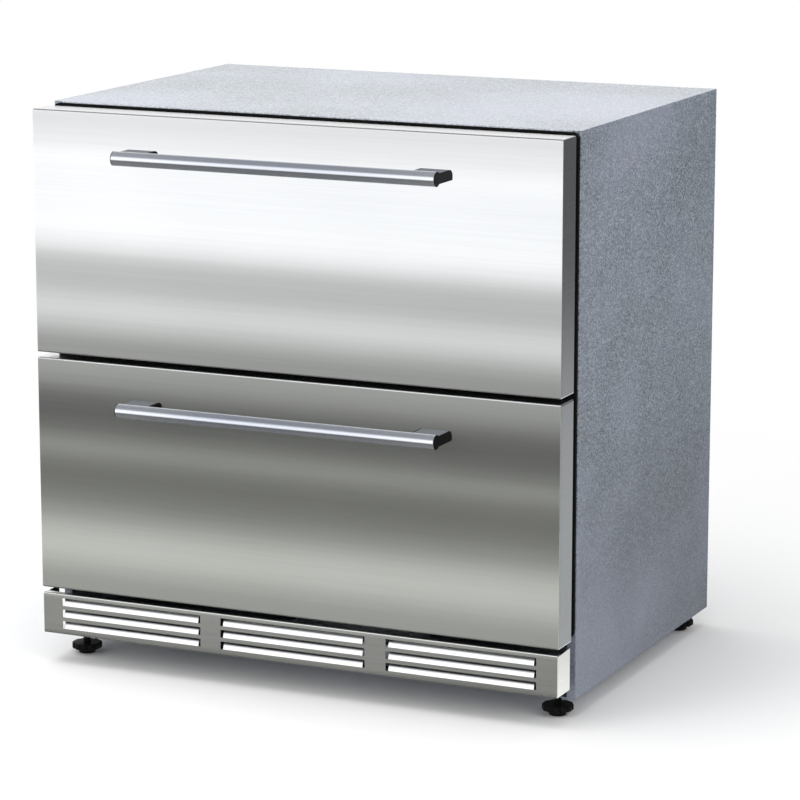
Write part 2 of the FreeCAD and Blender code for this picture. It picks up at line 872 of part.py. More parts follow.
def arm_section(owner, ranges, axis_y, axis_z):
    """Pads the side profile of an arm over each range and rounds it where it meets the front."""
    half_height = size.arm_height / 2
    for low, high in ranges:
        solid = pad(owner, "X", low, high,
                    [rectangle(axis_y, face_y, axis_z - half_height, axis_z + half_height)])
    for radius, upper in ((size.arm_shoulder, True), (size.arm_heel, False)):
        def at_rear(edge, upper=upper):
            rear = abs(edge.BoundBox.YMin - float(face_y)) < 1e-3
            return rear and along("X")(edge) and (edge.BoundBox.ZMin > float(axis_z)) == upper
        solid = fillet(owner, solid, radius, at_rear)


def handle(prefix, axis_z):
    """The tubular bar, its two arms, their end caps and screws."""
    axis_y = face_y - size.bar_standoff
    half_length = size.bar_length / 2
    tube_half = half_length - size.cap_thickness
    bore = size.bar_radius - size.bar_wall
    seat_radius = size.bar_radius + size.running_clearance

    bar = body(f"{prefix}_handle_bar")
    pad(bar, "X", -tube_half, tube_half, circles=[((axis_y, axis_z), size.bar_radius)])
    pocket(bar, "X", -tube_half, tube_half, circles=[((axis_y, axis_z), bore)])

    caps = body(f"{prefix}_handle_caps")
    plug = tube_half - size.cap_plug
    arm_end = half_length - size.arm_width
    arm_start = arm_end + size.cap_thickness
    outer_plates = ((-half_length, -tube_half), (tube_half, half_length))
    inner_plates = ((-arm_start, -arm_end), (arm_end, arm_start))
    arm_section(caps, outer_plates + inner_plates, axis_y, axis_z)
    for low, high in inner_plates:
        pocket(caps, "X", low, high, circles=[((axis_y, axis_z), seat_radius)])
    for low, high in outer_plates:
        pad(caps, "X", low, high, circles=[((axis_y, axis_z), size.bar_radius)])
    for low, high in ((-tube_half, -plug), (plug, tube_half)):
        pad(caps, "X", low, high, circles=[((axis_y, axis_z), bore - size.running_clearance)])

    arms = body(f"{prefix}_handle_arms")
    arm_section(arms, ((-tube_half, -arm_start), (arm_start, tube_half)), axis_y, axis_z)
    pocket(arms, "X", -half_length, half_length, circles=[((axis_y, axis_z), seat_radius)])
    spots = handle_screw_places(axis_z)
    tapped = [(spot, size.handle_screw_radius + size.running_clearance) for spot in spots]
    pocket(arms, "Y", face_y - size.handle_screw_reach, face_y, circles=tapped)

    screws = body(f"{prefix}_handle_screws")
    seat = face_y + size.front_skin
    pad(screws, "Y", face_y - size.handle_screw_reach + size.part_clearance, seat,
        circles=[(spot, size.handle_screw_radius) for spot in spots])
    pad(screws, "Y", seat, seat + size.handle_screw_head_height,
        circles=[(spot, size.handle_screw_head) for spot in spots])


# ---------------------------------------------------------------- bins and slides

bin_half = room_half - size.slide_space
bin_rear = cover_front - size.bin_air_gap
upper_bin_floor = mullion_top + size.bin_clearance
upper_bin_top = room_top - size.bin_headroom
lower_bin_floor = room_floor + size.bin_clearance
lower_bin_raised = hump_floor + size.bin_clearance
lower_bin_step = hump_face - size.bin_clearance
lower_bin_top = mullion_bottom - size.bin_clearance


def finish_bin(owner, top, inside):
    """Hollows a bin and folds its rim outwards."""
    wall = size.bin_wall
    pocket(owner, "X", wall - bin_half, bin_half - wall, [inside])
    pad(owner, "Z", top - wall, top, [
        rectangle(-bin_half - size.bin_rim, bin_half + size.bin_rim, seal_y, bin_rear + size.bin_rim),
        rectangle(wall - bin_half, bin_half - wall, seal_y + wall, bin_rear - wall)])


def upper_bin():
    """The deep box of the upper drawer."""
    owner = body("upper_bin")
    wall = size.bin_wall
    pad(owner, "X", -bin_half, bin_half, [rectangle(seal_y, bin_rear, upper_bin_floor, upper_bin_top)])
    finish_bin(owner, upper_bin_top,
               rectangle(seal_y + wall, bin_rear - wall, upper_bin_floor + wall, upper_bin_top))


def lower_bin():
    """The box of the lower drawer, stepped up at the rear to clear the compressor."""
    owner = body("lower_bin")
    wall = size.bin_wall
    pad(owner, "X", -bin_half, bin_half, [stepped_outline(
        seal_y, bin_rear, lower_bin_step, lower_bin_floor, lower_bin_raised, lower_bin_top)])
    finish_bin(owner, lower_bin_top, stepped_outline(
        seal_y + wall, bin_rear - wall, lower_bin_step - wall, lower_bin_floor + wall,
        lower_bin_raised + wall, lower_bin_top))


def slide_pair(prefix, centre_z):
    """Fixed, middle and drawer members of the two telescopic slides of one drawer."""
    sheet_t = size.slide_sheet
    outer_h = size.slide_half_height
    middle_h = outer_h - sheet_t - size.slide_gap
    inner_h = middle_h - sheet_t - size.slide_gap
    middle_u = sheet_t + 2 * size.slide_gap
    inner_u = middle_u + sheet_t + size.slide_gap
    start = body_y + size.slide_setback
    end = bin_rear

    def channel(web, inside_web, tip, half):
        """A channel outline, measured inwards from the liner wall."""
        lip = half - sheet_t
        return [(room_half - web, centre_z - half), (room_half - web, centre_z + half),
                (room_half - tip, centre_z + half), (room_half - tip, centre_z + lip),
                (room_half - inside_web, centre_z + lip), (room_half - inside_web, centre_z - lip),
                (room_half - tip, centre_z - lip), (room_half - tip, centre_z - half)]

    pad(body(f"{prefix}_slide_outer"), "Y", start, end,
        both_sides(channel(length(0), sheet_t, size.slide_lip, outer_h)))
    pad(body(f"{prefix}_slide_middle"), "Y", start, end,
        both_sides(channel(middle_u, middle_u + sheet_t, size.slide_lip, middle_h)))
    pad(body(f"{prefix}_slide_inner"), "Y", seal_y, end,
        both_sides(channel(size.slide_space, size.slide_space - sheet_t, inner_u, inner_h)))


# ---------------------------------------------------------------- cooling system

compressor_y = rear_y - size.compressor_setback
shell_z = pan_top + size.mount_height + size.compressor_plate


def stud_places():
    """The four corners of the mounting plate, around its own middle."""
    reach_x = size.plate_length / 2 - size.plate_stud_inset
    reach_y = size.plate_width / 2 - size.plate_stud_inset
    return [(sign_x * reach_x, sign_y * reach_y) for sign_x in (-1, 1) for sign_y in (-1, 1)]


def compressor():
    """The welded compressor shell on its mounting plate, with a terminal box."""
    owner = body("compressor")
    radius = size.compressor_radius
    height = size.compressor_height
    seam = size.compressor_seam
    dome = radius * 0.4
    middle = height / 2
    revolve(owner, [
        (0, 0), (radius - dome, 0), (radius - dome / 3, dome / 3), (radius, dome),
        (radius, middle - seam / 2), (radius + seam, middle - seam / 2),
        (radius + seam, middle + seam / 2), (radius, middle + seam / 2),
        (radius, height - dome), (radius - dome / 3, height - dome / 3), (radius - dome, height),
        (0, height)])
    half_x = size.plate_length / 2
    half_y = size.plate_width / 2
    pad(owner, "Z", -size.compressor_plate, 0, [rectangle(-half_x, half_x, -half_y, half_y)])
    box_half = size.terminal_width / 2
    box_low = middle + seam
    pad(owner, "Z", box_low, box_low + size.terminal_height,
        [rectangle(-box_half, box_half, -radius - size.terminal_depth, size.terminal_depth - radius)])
    bore = size.mount_stud + size.running_clearance
    pocket(owner, "Z", -size.compressor_plate, 0, circles=[(spot, bore) for spot in stud_places()])
    place(owner, size.compressor_x, compressor_y, shell_z)


def compressor_mounts():
    """Four rubber feet with their studs, under the corners of the mounting plate."""
    owner = body("compressor_mounts")
    top = size.mount_height
    pad(owner, "Z", 0, top, circles=[(spot, size.mount_radius) for spot in stud_places()])
    pad(owner, "Z", top, top + 3 * size.compressor_plate,
        circles=[(spot, size.mount_stud) for spot in stud_places()])
    place(owner, size.compressor_x, compressor_y, pan_top)


BEND_RIGHT = FreeCAD.Rotation(FreeCAD.Vector(0, 1, 0), -90).multiply(TURNS["Y"])
BEND_LEFT = FreeCAD.Rotation(FreeCAD.Vector(0, 1, 0), 90).multiply(TURNS["Y"])
BEND_ACROSS = FreeCAD.Rotation(FreeCAD.Vector(0, 0, 1), -90)


def return_bend(name, middle, bend_radius, turn):
    """A half turn of tube that joins the ends of two straight tubes."""
    item = document.addObject("Part::Torus", name)
    item.Placement = FreeCAD.Placement(FreeCAD.Vector(), turn)
    item.Angle3 = 180
    bind(item, "Radius1", bend_radius)
    bind(item, "Radius2", size.tube_radius)
    place(item, *middle)
    return item


def finned_coil(name, left, run, front, depth, foot, bottom, height, rows):
    """A tube that winds down the front column and up the rear one, through upright fins."""
    pieces = []
    count = int(float(run) / float(size.fin_pitch))
    for index in range(count + 1):
        x = left + run * (index / count) - size.fin_sheet / 2
        low = foot if index in (0, count) else bottom
        pieces.append(block(f"{name}_fin", (x, x + size.fin_sheet), (front, front + depth),
                            (low, bottom + height)))
    tube_left = left - size.tube_stub
    tube_right = left + run + size.tube_stub
    for column in (FRONT_COLUMN, REAR_COLUMN):
        y = front + depth * column
        for row in range(rows):
            start = (tube_left, y, row_z(bottom, height, rows, row))
            pieces.append(rod(f"{name}_tube", "X", size.tube_radius, start, tube_right - tube_left))
        for row in range(rows - 1):
            x, turn = (tube_right, BEND_RIGHT) if row % 2 else (tube_left, BEND_LEFT)
            middle = (x, y, row_z(bottom, height, rows, row + 0.5))
            pieces.append(return_bend(f"{name}_bend", middle, height / rows / 2, turn))
    link_radius = depth * (REAR_COLUMN - FRONT_COLUMN) / 2
    link_middle = (tube_right, front + depth * (FRONT_COLUMN + REAR_COLUMN) / 2,
                   row_z(bottom, height, rows, 0))
    pieces.append(return_bend(f"{name}_link", link_middle, link_radius, BEND_ACROSS))
    return sub_part(fuse(name, pieces), name)


shroud_front = condenser_front + size.condenser_depth + size.shroud_gap
shroud_rear = shroud_front + size.shroud_depth
condenser_motor_front = shroud_rear - size.condenser_motor_depth
condenser_middle = condenser_left + size.condenser_length / 2
condenser_fan_z = base_z + size.hump_height / 2


def condenser_fan_motor():
    """The fan's shroud plate, its two legs, cross bar and motor."""
    leg = size.shroud_leg
    reach = size.condenser_fan_radius + size.fan_clearance + leg
    x, z = condenser_middle, condenser_fan_z
    plate = block("shroud_plate", (condenser_left, condenser_left + size.condenser_length),
                  (shroud_front, shroud_front + size.shroud_sheet),
                  (pan_top, pan_top + size.condenser_height))
    hole = rod("shroud_hole", "Y", reach - leg, (x, shroud_front, z), size.shroud_sheet)
    pieces = [cut("shroud", plate, hole)]
    for sign in (-1, 1):
        side = x + sign * reach
        pieces.append(block("shroud_leg", (side - leg / 2, side + leg / 2),
                            (shroud_front, shroud_rear), (z - leg / 2, z + leg / 2)))
    pieces.append(block("motor_bar", (x - reach, x + reach), (shroud_rear - size.shroud_bar, shroud_rear),
                        (z - leg / 2, z + leg / 2)))
    pieces.append(rod("motor_case", "Y", size.condenser_motor_radius, (x, condenser_motor_front, z),
                      size.condenser_motor_depth))
    bore = rod("motor_bore", "Y", size.shaft_radius + size.running_clearance,
               (x, condenser_motor_front, z), size.motor_bore_depth)
    sub_part(cut("condenser_fan_motor", fuse("condenser_fan_frame", pieces), bore), "condenser_fan_motor")


BLADE_COUNT = 5
BLADE_TILT = 32
BLADE_SHEET = 1.5
HUB_SHARE = 0.3
ROOT_SHARE = 0.8
CHORD_SHARE = 0.62


def fan_blade(name, radius, x, z, hub_front, hub_depth, shaft_run):
    """A hub with tilted blades and the shaft that runs into the motor."""
    hub_radius = radius * HUB_SHARE
    root = hub_radius * ROOT_SHARE
    chord = radius * CHORD_SHARE
    middle_y = hub_front + hub_depth / 2
    pieces = [rod(f"{name}_hub", "Y", hub_radius, (x, hub_front, z), hub_depth),
              rod(f"{name}_shaft", "Y", size.shaft_radius, (x, hub_front, z), shaft_run)]
    for index in range(BLADE_COUNT):
        around = FreeCAD.Rotation(FreeCAD.Vector(0, 1, 0), 360 * index / BLADE_COUNT)
        turn = around.multiply(FreeCAD.Rotation(FreeCAD.Vector(1, 0, 0), 90 - BLADE_TILT))
        outward = turn.multVec(FreeCAD.Vector(1, 0, 0))
        across = turn.multVec(FreeCAD.Vector(0, 1, 0))
        through = turn.multVec(FreeCAD.Vector(0, 0, 1))
        wing = document.addObject("Part::Box", f"{name}_wing")
        wing.Placement = FreeCAD.Placement(FreeCAD.Vector(), turn)
        wing.Height = BLADE_SHEET
        bind(wing, "Length", radius - root)
        bind(wing, "Width", chord)
        corner = [root * outward[axis] - chord * (across[axis] / 2) - BLADE_SHEET / 2 * through[axis]
                  for axis in range(3)]
        place(wing, x + corner[0], middle_y + corner[1], z + corner[2])
        pieces.append(wing)
    trimmed = document.addObject("Part::Common", name)
    trimmed.Base = fuse(f"{name}_whole", pieces)
    trimmed.Tool = rod(f"{name}_disc", "Y", radius, (x, hub_front, z), shaft_run)
    sub_part(trimmed, name)


evaporator_fan_z = room_top - size.evaporator_fan_drop
evaporator_motor_front = room_rear - size.motor_post_length - size.evaporator_motor_depth
INTAKE_COUNT = 10


def evaporator_cover():
    """The moulded cover in front of the evaporator, open to the fan and below it."""
    owner = body("evaporator_cover")
    reach = size.evaporator_length / 2 + size.cover_side
    wall = size.cover_wall
    bottom = evaporator_bottom - size.cover_below
    top = room_top - size.cover_top_drop
    pad(owner, "Y", cover_front, room_rear, [rectangle(-reach, reach, bottom, top)])
    pocket(owner, "Y", cover_front + wall, room_rear,
           [rectangle(wall - reach, reach - wall, bottom + wall, top - wall)])
    opening = size.evaporator_fan_radius + size.fan_clearance
    sill = bottom + size.intake_rise
    intakes = []
    for index in range(INTAKE_COUNT):
        left = size.intake_pitch * (index - (INTAKE_COUNT - 1) / 2) - size.intake_width / 2
        intakes.append(rectangle(left, left + size.intake_width, sill, sill + size.intake_height))
    pocket(owner, "Y", cover_front, cover_front + wall, intakes, [((0, evaporator_fan_z), opening)])


def evaporator_fan_motor():
    """The small motor on its post and wall plate behind the evaporator fan."""
    z = evaporator_fan_z
    half = size.motor_plate_width / 2
    case_rear = evaporator_motor_front + size.evaporator_motor_depth
    pieces = [block("evaporator_plate", (-half, half), (room_rear - size.motor_plate, room_rear),
                    (z - half, z + half)),
              rod("evaporator_post", "Y", size.motor_post_radius, (0, case_rear, z), size.motor_post_length),
              rod("evaporator_case", "Y", size.evaporator_motor_radius, (0, evaporator_motor_front, z),
                  size.evaporator_motor_depth)]
    bore = rod("evaporator_bore", "Y", size.shaft_radius + size.running_clearance,
               (0, evaporator_motor_front, z), size.evaporator_bore_depth)
    sub_part(cut("evaporator_fan_motor", fuse("evaporator_motor_whole", pieces), bore),
             "evaporator_fan_motor")


def drain_pan():
    """The shallow tray that melt water evaporates from."""
    owner = body("drain_pan")
    wall = size.drain_wall
    half = size.drain_width / 2
    front = body_y + size.drain_setback
    rear = front + size.drain_depth
    top = pan_top + size.drain_height
    pad(owner, "Z", pan_top, top, [rectangle(-half, half, front, rear)])
    pocket(owner, "Z", pan_top + wall, top, [rectangle(wall - half, half - wall, front + wall, rear - wall)])


drier_x = condenser_left + size.condenser_length + size.drier_offset
drier_y = condenser_front + size.condenser_depth * REAR_COLUMN
drier_bottom = pan_top + size.drier_rise


def filter_drier():
    """The copper drier cartridge, necked at both ends."""
    owner = body("filter_drier")
    neck = size.drier_neck
    neck_end = size.drier_neck_length
    shoulder = neck_end + size.drier_shoulder
    run = size.drier_length
    revolve(owner, [(0, 0), (neck, 0), (neck, neck_end), (size.drier_radius, shoulder),
                    (size.drier_radius, run - shoulder), (neck, run - neck_end), (neck, run), (0, run)])
    place(owner, drier_x, drier_y, drier_bottom)


def bent_tube(radius, points):
    """A round tube along straight runs joined by tangent bends."""
    bend = float(size.line_bend)
    corners = [FreeCAD.Vector(*(float(length(value)) for value in point)) for point in points]
    edges = []
    start = corners[0]
    for before, corner, after in zip(corners, corners[1:], corners[2:]):
        arriving = (corner - before).normalize()
        leaving = (after - corner).normalize()
        first = corner - arriving * bend
        last = corner + leaving * bend
        centre = first + leaving * bend
        middle = centre + (corner - centre).normalize() * bend
        edges.append(Part.LineSegment(start, first).toShape())
        edges.append(Part.Arc(first, middle, last).toShape())
        start = last
    edges.append(Part.LineSegment(start, corners[-1]).toShape())
    heading = (corners[1] - corners[0]).normalize()
    ring = Part.Wire([Part.Circle(corners[0], heading, float(radius)).toShape()])
    return Part.Wire(edges).makePipeShell([ring], True, False)


def refrigerant_lines():
    """Discharge, liquid, capillary and suction lines of the cooling circuit."""
    gap = size.part_clearance
    shell_side = size.compressor_radius + gap
    outlet_z = shell_z + size.compressor_height / 3

    coil_end = condenser_left + size.condenser_length + size.tube_stub + gap
    coil_y = condenser_front + size.condenser_depth * FRONT_COLUMN
    coil_z = row_z(condenser_bottom, condenser_stack, CONDENSER_ROWS, CONDENSER_ROWS - 1)
    riser_x = drier_x + size.discharge_offset
    discharge = bent_tube(size.tube_radius, [
        (size.compressor_x - shell_side, compressor_y, outlet_z), (riser_x, compressor_y, outlet_z),
        (riser_x, compressor_y, coil_z), (riser_x, coil_y, coil_z), (coil_end, coil_y, coil_z)])
    liquid = bent_tube(size.tube_radius, [
        (coil_end, drier_y, coil_z), (drier_x, drier_y, coil_z),
        (drier_x, drier_y, drier_bottom + size.drier_length)])

    cold_end = size.evaporator_length / 2 + size.tube_stub + gap
    inlet_y = evaporator_front + size.evaporator_depth * FRONT_COLUMN
    outlet_y = evaporator_front + size.evaporator_depth * REAR_COLUMN
    beside_x = suction_x + size.tube_radius + size.capillary_gap + size.capillary_radius
    low_z = drier_bottom - size.capillary_dip
    capillary = bent_tube(size.capillary_radius, [
        (drier_x, drier_y, drier_bottom), (drier_x, drier_y, low_z), (drier_x, suction_y, low_z),
        (beside_x, suction_y, low_z), (beside_x, suction_y, suction_z), (beside_x, inlet_y, suction_z),
        (cold_end, inlet_y, suction_z)])
    over_z = hump_under - 4 * size.tube_radius
    suction = bent_tube(size.tube_radius, [
        (cold_end, outlet_y, suction_z), (suction_x, outlet_y, suction_z),
        (suction_x, suction_y, suction_z), (suction_x, suction_y, over_z),
        (suction_x, compressor_y, over_z), (suction_x, compressor_y, outlet_z),
        (size.compressor_x + shell_side, compressor_y, outlet_z)])
    item = document.addObject("Part::Feature", "refrigerant_lines")
    item.Shape = Part.makeCompound([discharge, liquid, capillary, suction])
    sub_part(item, "refrigerant_lines")


# ---------------------------------------------------------------- controls and lamp

housing_front = body_y + size.housing_setback
housing_bottom = room_top - size.housing_height
button_z = room_top - size.housing_height / 2
BUTTON_SLOTS = {"button_power": -3.3, "button_down": 2.3, "button_up": 3.5}


def button_x(name):
    return size.button_pitch * BUTTON_SLOTS[name]


def control_housing():
    """The moulded box under the ceiling, with three button holes and a display window."""
    owner = body("control_housing")
    reach = size.housing_half_width
    wall = size.housing_wall
    rear = housing_front + size.housing_depth
    pad(owner, "Z", housing_bottom, room_top, [rectangle(-reach, reach, housing_front, rear)])
    pocket(owner, "Z", housing_bottom + wall, room_top,
           [rectangle(wall - reach, reach - wall, housing_front + wall, rear - wall)])
    hole_radius = size.button_radius + size.part_clearance
    holes = [((button_x(name), button_z), hole_radius) for name in BUTTON_SLOTS]
    pocket(owner, "Y", housing_front, housing_front + wall, [display_outline()], holes)


def display_outline():
    half = size.display_width / 2
    rise = size.display_height / 2
    return rectangle(-half, half, button_z - rise, button_z + rise)


def display_lens():
    """The clear window over the display."""
    owner = body("display_lens")
    pad(owner, "Y", housing_front, housing_front + size.housing_wall, [display_outline()])


def push_button(name):
    """A round push button with a flange that keeps it in its hole."""
    owner = body(name)
    spot = (button_x(name), button_z)
    inside = housing_front + size.housing_wall + size.part_clearance
    pad(owner, "Y", housing_front - size.button_proud, inside, circles=[(spot, size.button_radius)])
    flange_back = inside + size.button_flange
    flange_radius = size.button_radius + size.button_flange
    pad(owner, "Y", inside, flange_back, circles=[(spot, flange_radius)])
    board = housing_front + size.board_gap
    pad(owner, "Y", flange_back, board - size.button_travel - size.part_clearance,
        circles=[(spot, size.button_radius / 2)])


def control_board():
    """The circuit board behind the buttons."""
    owner = body("control_board")
    reach = size.housing_half_width - size.housing_wall
    board = housing_front + size.board_gap
    pad(owner, "Y", board, board + size.skin, [rectangle(
        -reach, reach, housing_bottom + size.housing_wall, room_top - 2 * size.housing_wall)])
    half = size.display_width / 2 - size.display_border
    rise = size.display_height / 2 - size.display_border
    pad(owner, "Y", housing_front + size.housing_wall, board,
        [rectangle(-half, half, button_z - rise, button_z + rise)])


def lamp_lens():
    """The diffuser of the ceiling lamp."""
    owner = body("lamp_lens")
    front = housing_front + size.housing_depth + size.lens_gap
    lens = pad(owner, "Z", room_top - size.lens_height, room_top,
               [rectangle(-size.lens_half_width, size.lens_half_width, front, front + size.lens_depth)])
    fillet(owner, lens, size.lens_height / 3, along("Z"))


# ---------------------------------------------------------------- assembly

side_panel("side_panel_left", -1)
side_panel("side_panel_right", 1)
top_panel()
rear_panel()
deck_panel()
foam_insulation()
inner_liner()
front_frame()
machine_cover()
power_inlet()
cabinet_screws()
base_pan()
toe_grille()
for foot_name, foot_x, foot_y in foot_places():
    levelling_foot(foot_name, foot_x, foot_y)

drawer_front("upper", upper_bottom, upper_top)
drawer_front("lower", lower_bottom, lower_top)
handle("upper", upper_top - size.bar_drop)
handle("lower", lower_top - size.bar_drop)
upper_bin()
lower_bin()
slide_pair("upper", upper_bin_floor + size.upper_slide_rise)
slide_pair("lower", hump_floor + size.lower_slide_rise)

compressor()
compressor_mounts()
finned_coil("condenser_coil", condenser_left, size.condenser_length, condenser_front,
            size.condenser_depth, pan_top, condenser_bottom, condenser_stack, CONDENSER_ROWS)
condenser_fan_motor()
blade_front = shroud_front + size.fan_setback
blade_reach = condenser_motor_front - blade_front
fan_blade("condenser_fan_blade", size.condenser_fan_radius, condenser_middle, condenser_fan_z,
          blade_front, blade_reach - size.motor_gap, blade_reach + size.shaft_in_motor)
finned_coil("evaporator_coil", -size.evaporator_length / 2, size.evaporator_length, evaporator_front,
            size.evaporator_depth, evaporator_bottom, evaporator_bottom, size.evaporator_height,
            EVAPORATOR_ROWS)
evaporator_cover()
evaporator_fan_motor()
cold_blade_front = cover_front + size.fan_setback
cold_blade_reach = evaporator_motor_front - cold_blade_front
fan_blade("evaporator_fan_blade", size.evaporator_fan_radius, length(0), evaporator_fan_z,
          cold_blade_front, cold_blade_reach - size.motor_gap,
          cold_blade_reach + size.evaporator_shaft_in_motor)
drain_pan()
filter_drier()
refrigerant_lines()
control_housing()
display_lens()
control_board()
for button_name in BUTTON_SLOTS:
    push_button(button_name)
lamp_lens()

document.recompute()

# ---------------------------------------------------------------- checks and export

for item in document.Objects:
    if "Invalid" in item.State or "Error" in item.State:
        raise RuntimeError(f"{item.Label} failed: {item.State}")
for item in parts:
    if item.Shape.isNull() or not item.Shape.isValid() or not item.Shape.Solids:
        raise RuntimeError(f"{item.Label} has no valid solid")

os.makedirs("parts", exist_ok=True)
for item in parts:
    item.Shape.exportStep(f"parts/{item.Label}.step")
print(f"{len(parts)} sub-parts written")
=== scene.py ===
"""A drawer refrigerator for under a counter: its looks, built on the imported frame."""
import json
import math

import bmesh
import bpy
from mathutils import Matrix, Vector


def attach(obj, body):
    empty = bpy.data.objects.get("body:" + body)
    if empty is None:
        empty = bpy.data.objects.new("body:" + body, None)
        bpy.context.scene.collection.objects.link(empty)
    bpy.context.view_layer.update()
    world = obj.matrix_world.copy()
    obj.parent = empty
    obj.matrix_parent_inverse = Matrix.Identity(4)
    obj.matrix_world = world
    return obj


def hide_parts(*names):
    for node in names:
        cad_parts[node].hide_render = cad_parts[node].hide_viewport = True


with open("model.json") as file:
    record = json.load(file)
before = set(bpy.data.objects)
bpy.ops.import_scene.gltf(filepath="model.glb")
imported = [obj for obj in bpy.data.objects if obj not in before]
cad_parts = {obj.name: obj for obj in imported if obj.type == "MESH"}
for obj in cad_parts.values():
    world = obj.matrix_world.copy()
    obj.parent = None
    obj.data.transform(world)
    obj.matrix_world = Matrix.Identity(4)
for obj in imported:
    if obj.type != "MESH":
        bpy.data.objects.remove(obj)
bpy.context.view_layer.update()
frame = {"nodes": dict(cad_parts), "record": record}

MM = 0.001
CABINET_TOP = 0.882

# ------------------------------------------------------------------ room, light and camera

CAMERA_PLACE = (2.2527, -4.7823, 1.511)
CAMERA_AIM = (0.1254, -0.17, 0.4489)
CAMERA_LENS = 153.92
CAMERA_SENSOR = 36.0


def set_camera():
    data = bpy.data.cameras.new("camera")
    data.lens = CAMERA_LENS
    data.sensor_width = CAMERA_SENSOR
    data.clip_end = 100
    camera = bpy.data.objects.new("camera", data)
    camera.location = CAMERA_PLACE
    gaze = Vector(CAMERA_AIM) - Vector(CAMERA_PLACE)
    camera.rotation_euler = gaze.to_track_quat("-Z", "Y").to_euler()
    bpy.context.scene.collection.objects.link(camera)
    bpy.context.scene.camera = camera


class Graph:
    """A shader's nodes, with short calls for the ones that the finishes share."""

    def __init__(self, tree):
        self.tree = tree
        self.coordinates = None

    def add(self, kind, *inputs, out=0, **settings):
        """Adds a node, sets or links its inputs in order, and gives one output."""
        node = self.tree.nodes.new(kind)
        for name, value in settings.items():
            setattr(node, name, value)
        for index, value in enumerate(inputs):
            self.feed(value, node.inputs[index])
        return node.outputs[out]

    def feed(self, value, socket):
        """Links an output to a socket, or sets the socket to a plain value."""
        if value is None:
            return
        if isinstance(value, bpy.types.NodeSocket):
            self.tree.links.new(value, socket)
        else:
            socket.default_value = value

    def place(self, stretch=(1, 1, 1)):
        """Object coordinates, stretched along the axes."""
        if self.coordinates is None:
            self.coordinates = self.add("ShaderNodeTexCoord", out="Object")
        return self.add("ShaderNodeMapping", self.coordinates, None, None, stretch)

    def noise(self, scale, stretch=(1, 1, 1), detail=3.0, roughness=0.55):
        node = self.tree.nodes.new("ShaderNodeTexNoise")
        self.feed(self.place(stretch), node.inputs["Vector"])
        node.inputs["Scale"].default_value = scale
        node.inputs["Detail"].default_value = detail
        node.inputs["Roughness"].default_value = roughness
        return node.outputs["Fac"]

    def cells(self, scale, feature="F1", output="Color"):
        node = self.tree.nodes.new("ShaderNodeTexVoronoi")
        node.feature = feature
        self.feed(self.place(), node.inputs["Vector"])
        node.inputs["Scale"].default_value = scale
        return node.outputs[output]

    def spread(self, value, low, high, to_low, to_high, smooth=False):
        """Maps one range of numbers onto another."""
        kind = "SMOOTHSTEP" if smooth else "LINEAR"
        return self.add("ShaderNodeMapRange", value, low, high, to_low, to_high, interpolation_type=kind)

    def ramp(self, value, stops, ease="LINEAR"):
        """Reads a colour off a row of (place, colour) stops."""
        node = self.tree.nodes.new("ShaderNodeValToRGB")
        node.color_ramp.interpolation = ease
        points = node.color_ramp.elements
        while len(points) < len(stops):
            points.new(0.5)
        for point, (place, colour) in zip(points, stops):
            point.position = place
        for point, (place, colour) in zip(points, stops):
            point.color = (*colour, 1)
        self.feed(value, node.inputs[0])
        return node.outputs[0]

    def mix(self, factor, first, second):
        """Blends two colours."""
        node = self.tree.nodes.new("ShaderNodeMix")
        node.data_type = "RGBA"
        self.feed(factor, node.inputs[0])
        for colour, socket in ((first, node.inputs[6]), (second, node.inputs[7])):
            self.feed((*colour, 1) if isinstance(colour, tuple) else colour, socket)
        return node.outputs[2]

    def maths(self, kind, first, second):
        return self.add("ShaderNodeMath", first, second, operation=kind)

    def split(self, vector):
        """The X, Y and Z of a vector, by name."""
        node = self.tree.nodes.new("ShaderNodeSeparateXYZ")
        self.feed(vector, node.inputs[0])
        return node.outputs

    def end(self, kind, shader):
        """Gives the finished shader to an output node."""
        self.feed(shader, self.tree.nodes.new(kind).inputs[0])


def grey(level, tint=(1, 1, 1)):
    return tuple(level * part for part in tint)


# What the metal mirrors, from straight down to straight up, as (height of the gaze, level).
FRONT_RING = ((-1.0, 0.17), (-0.7, 0.11), (-0.42, 0.06), (-0.35, 0.12), (-0.28, 0.4), (-0.21, 0.95),
              (-0.14, 1.35), (-0.07, 1.7), (0.3, 1.7), (0.47, 1.3), (0.6, 0.6), (0.72, 0.3), (1.0, 0.3))
BACK_RING = ((-1.0, 0.3), (-0.3, 0.4), (-0.1, 1.1), (0.3, 1.2), (0.45, 0.5), (1.0, 0.3))
# The same towards the dark side of the room, on the right.
RIGHT_RING = ((-1.0, 1.3), (-0.34, 1.3), (-0.305, 0.43), (-0.2, 0.43), (-0.178, 0.11), (0.1, 0.1),
              (0.4, 0.25), (1.0, 0.3))
RIGHT_HEADING = (0.85, 0.53)
COOL = (0.97, 1.0, 1.06)
WARM = (1.0, 1.01, 0.97)


# What lights dull surfaces from all round.
SKY_LEVEL = 0.62


def ring_stops(ring):
    """A ramp's stops for one ring, cool high up and warm low down."""
    stops = []
    for height, level in ring:
        tint = COOL if height > 0.3 else WARM if height < -0.2 else (1, 1, 1)
        stops.append(((height + 1) / 2, grey(level, tint)))
    return stops


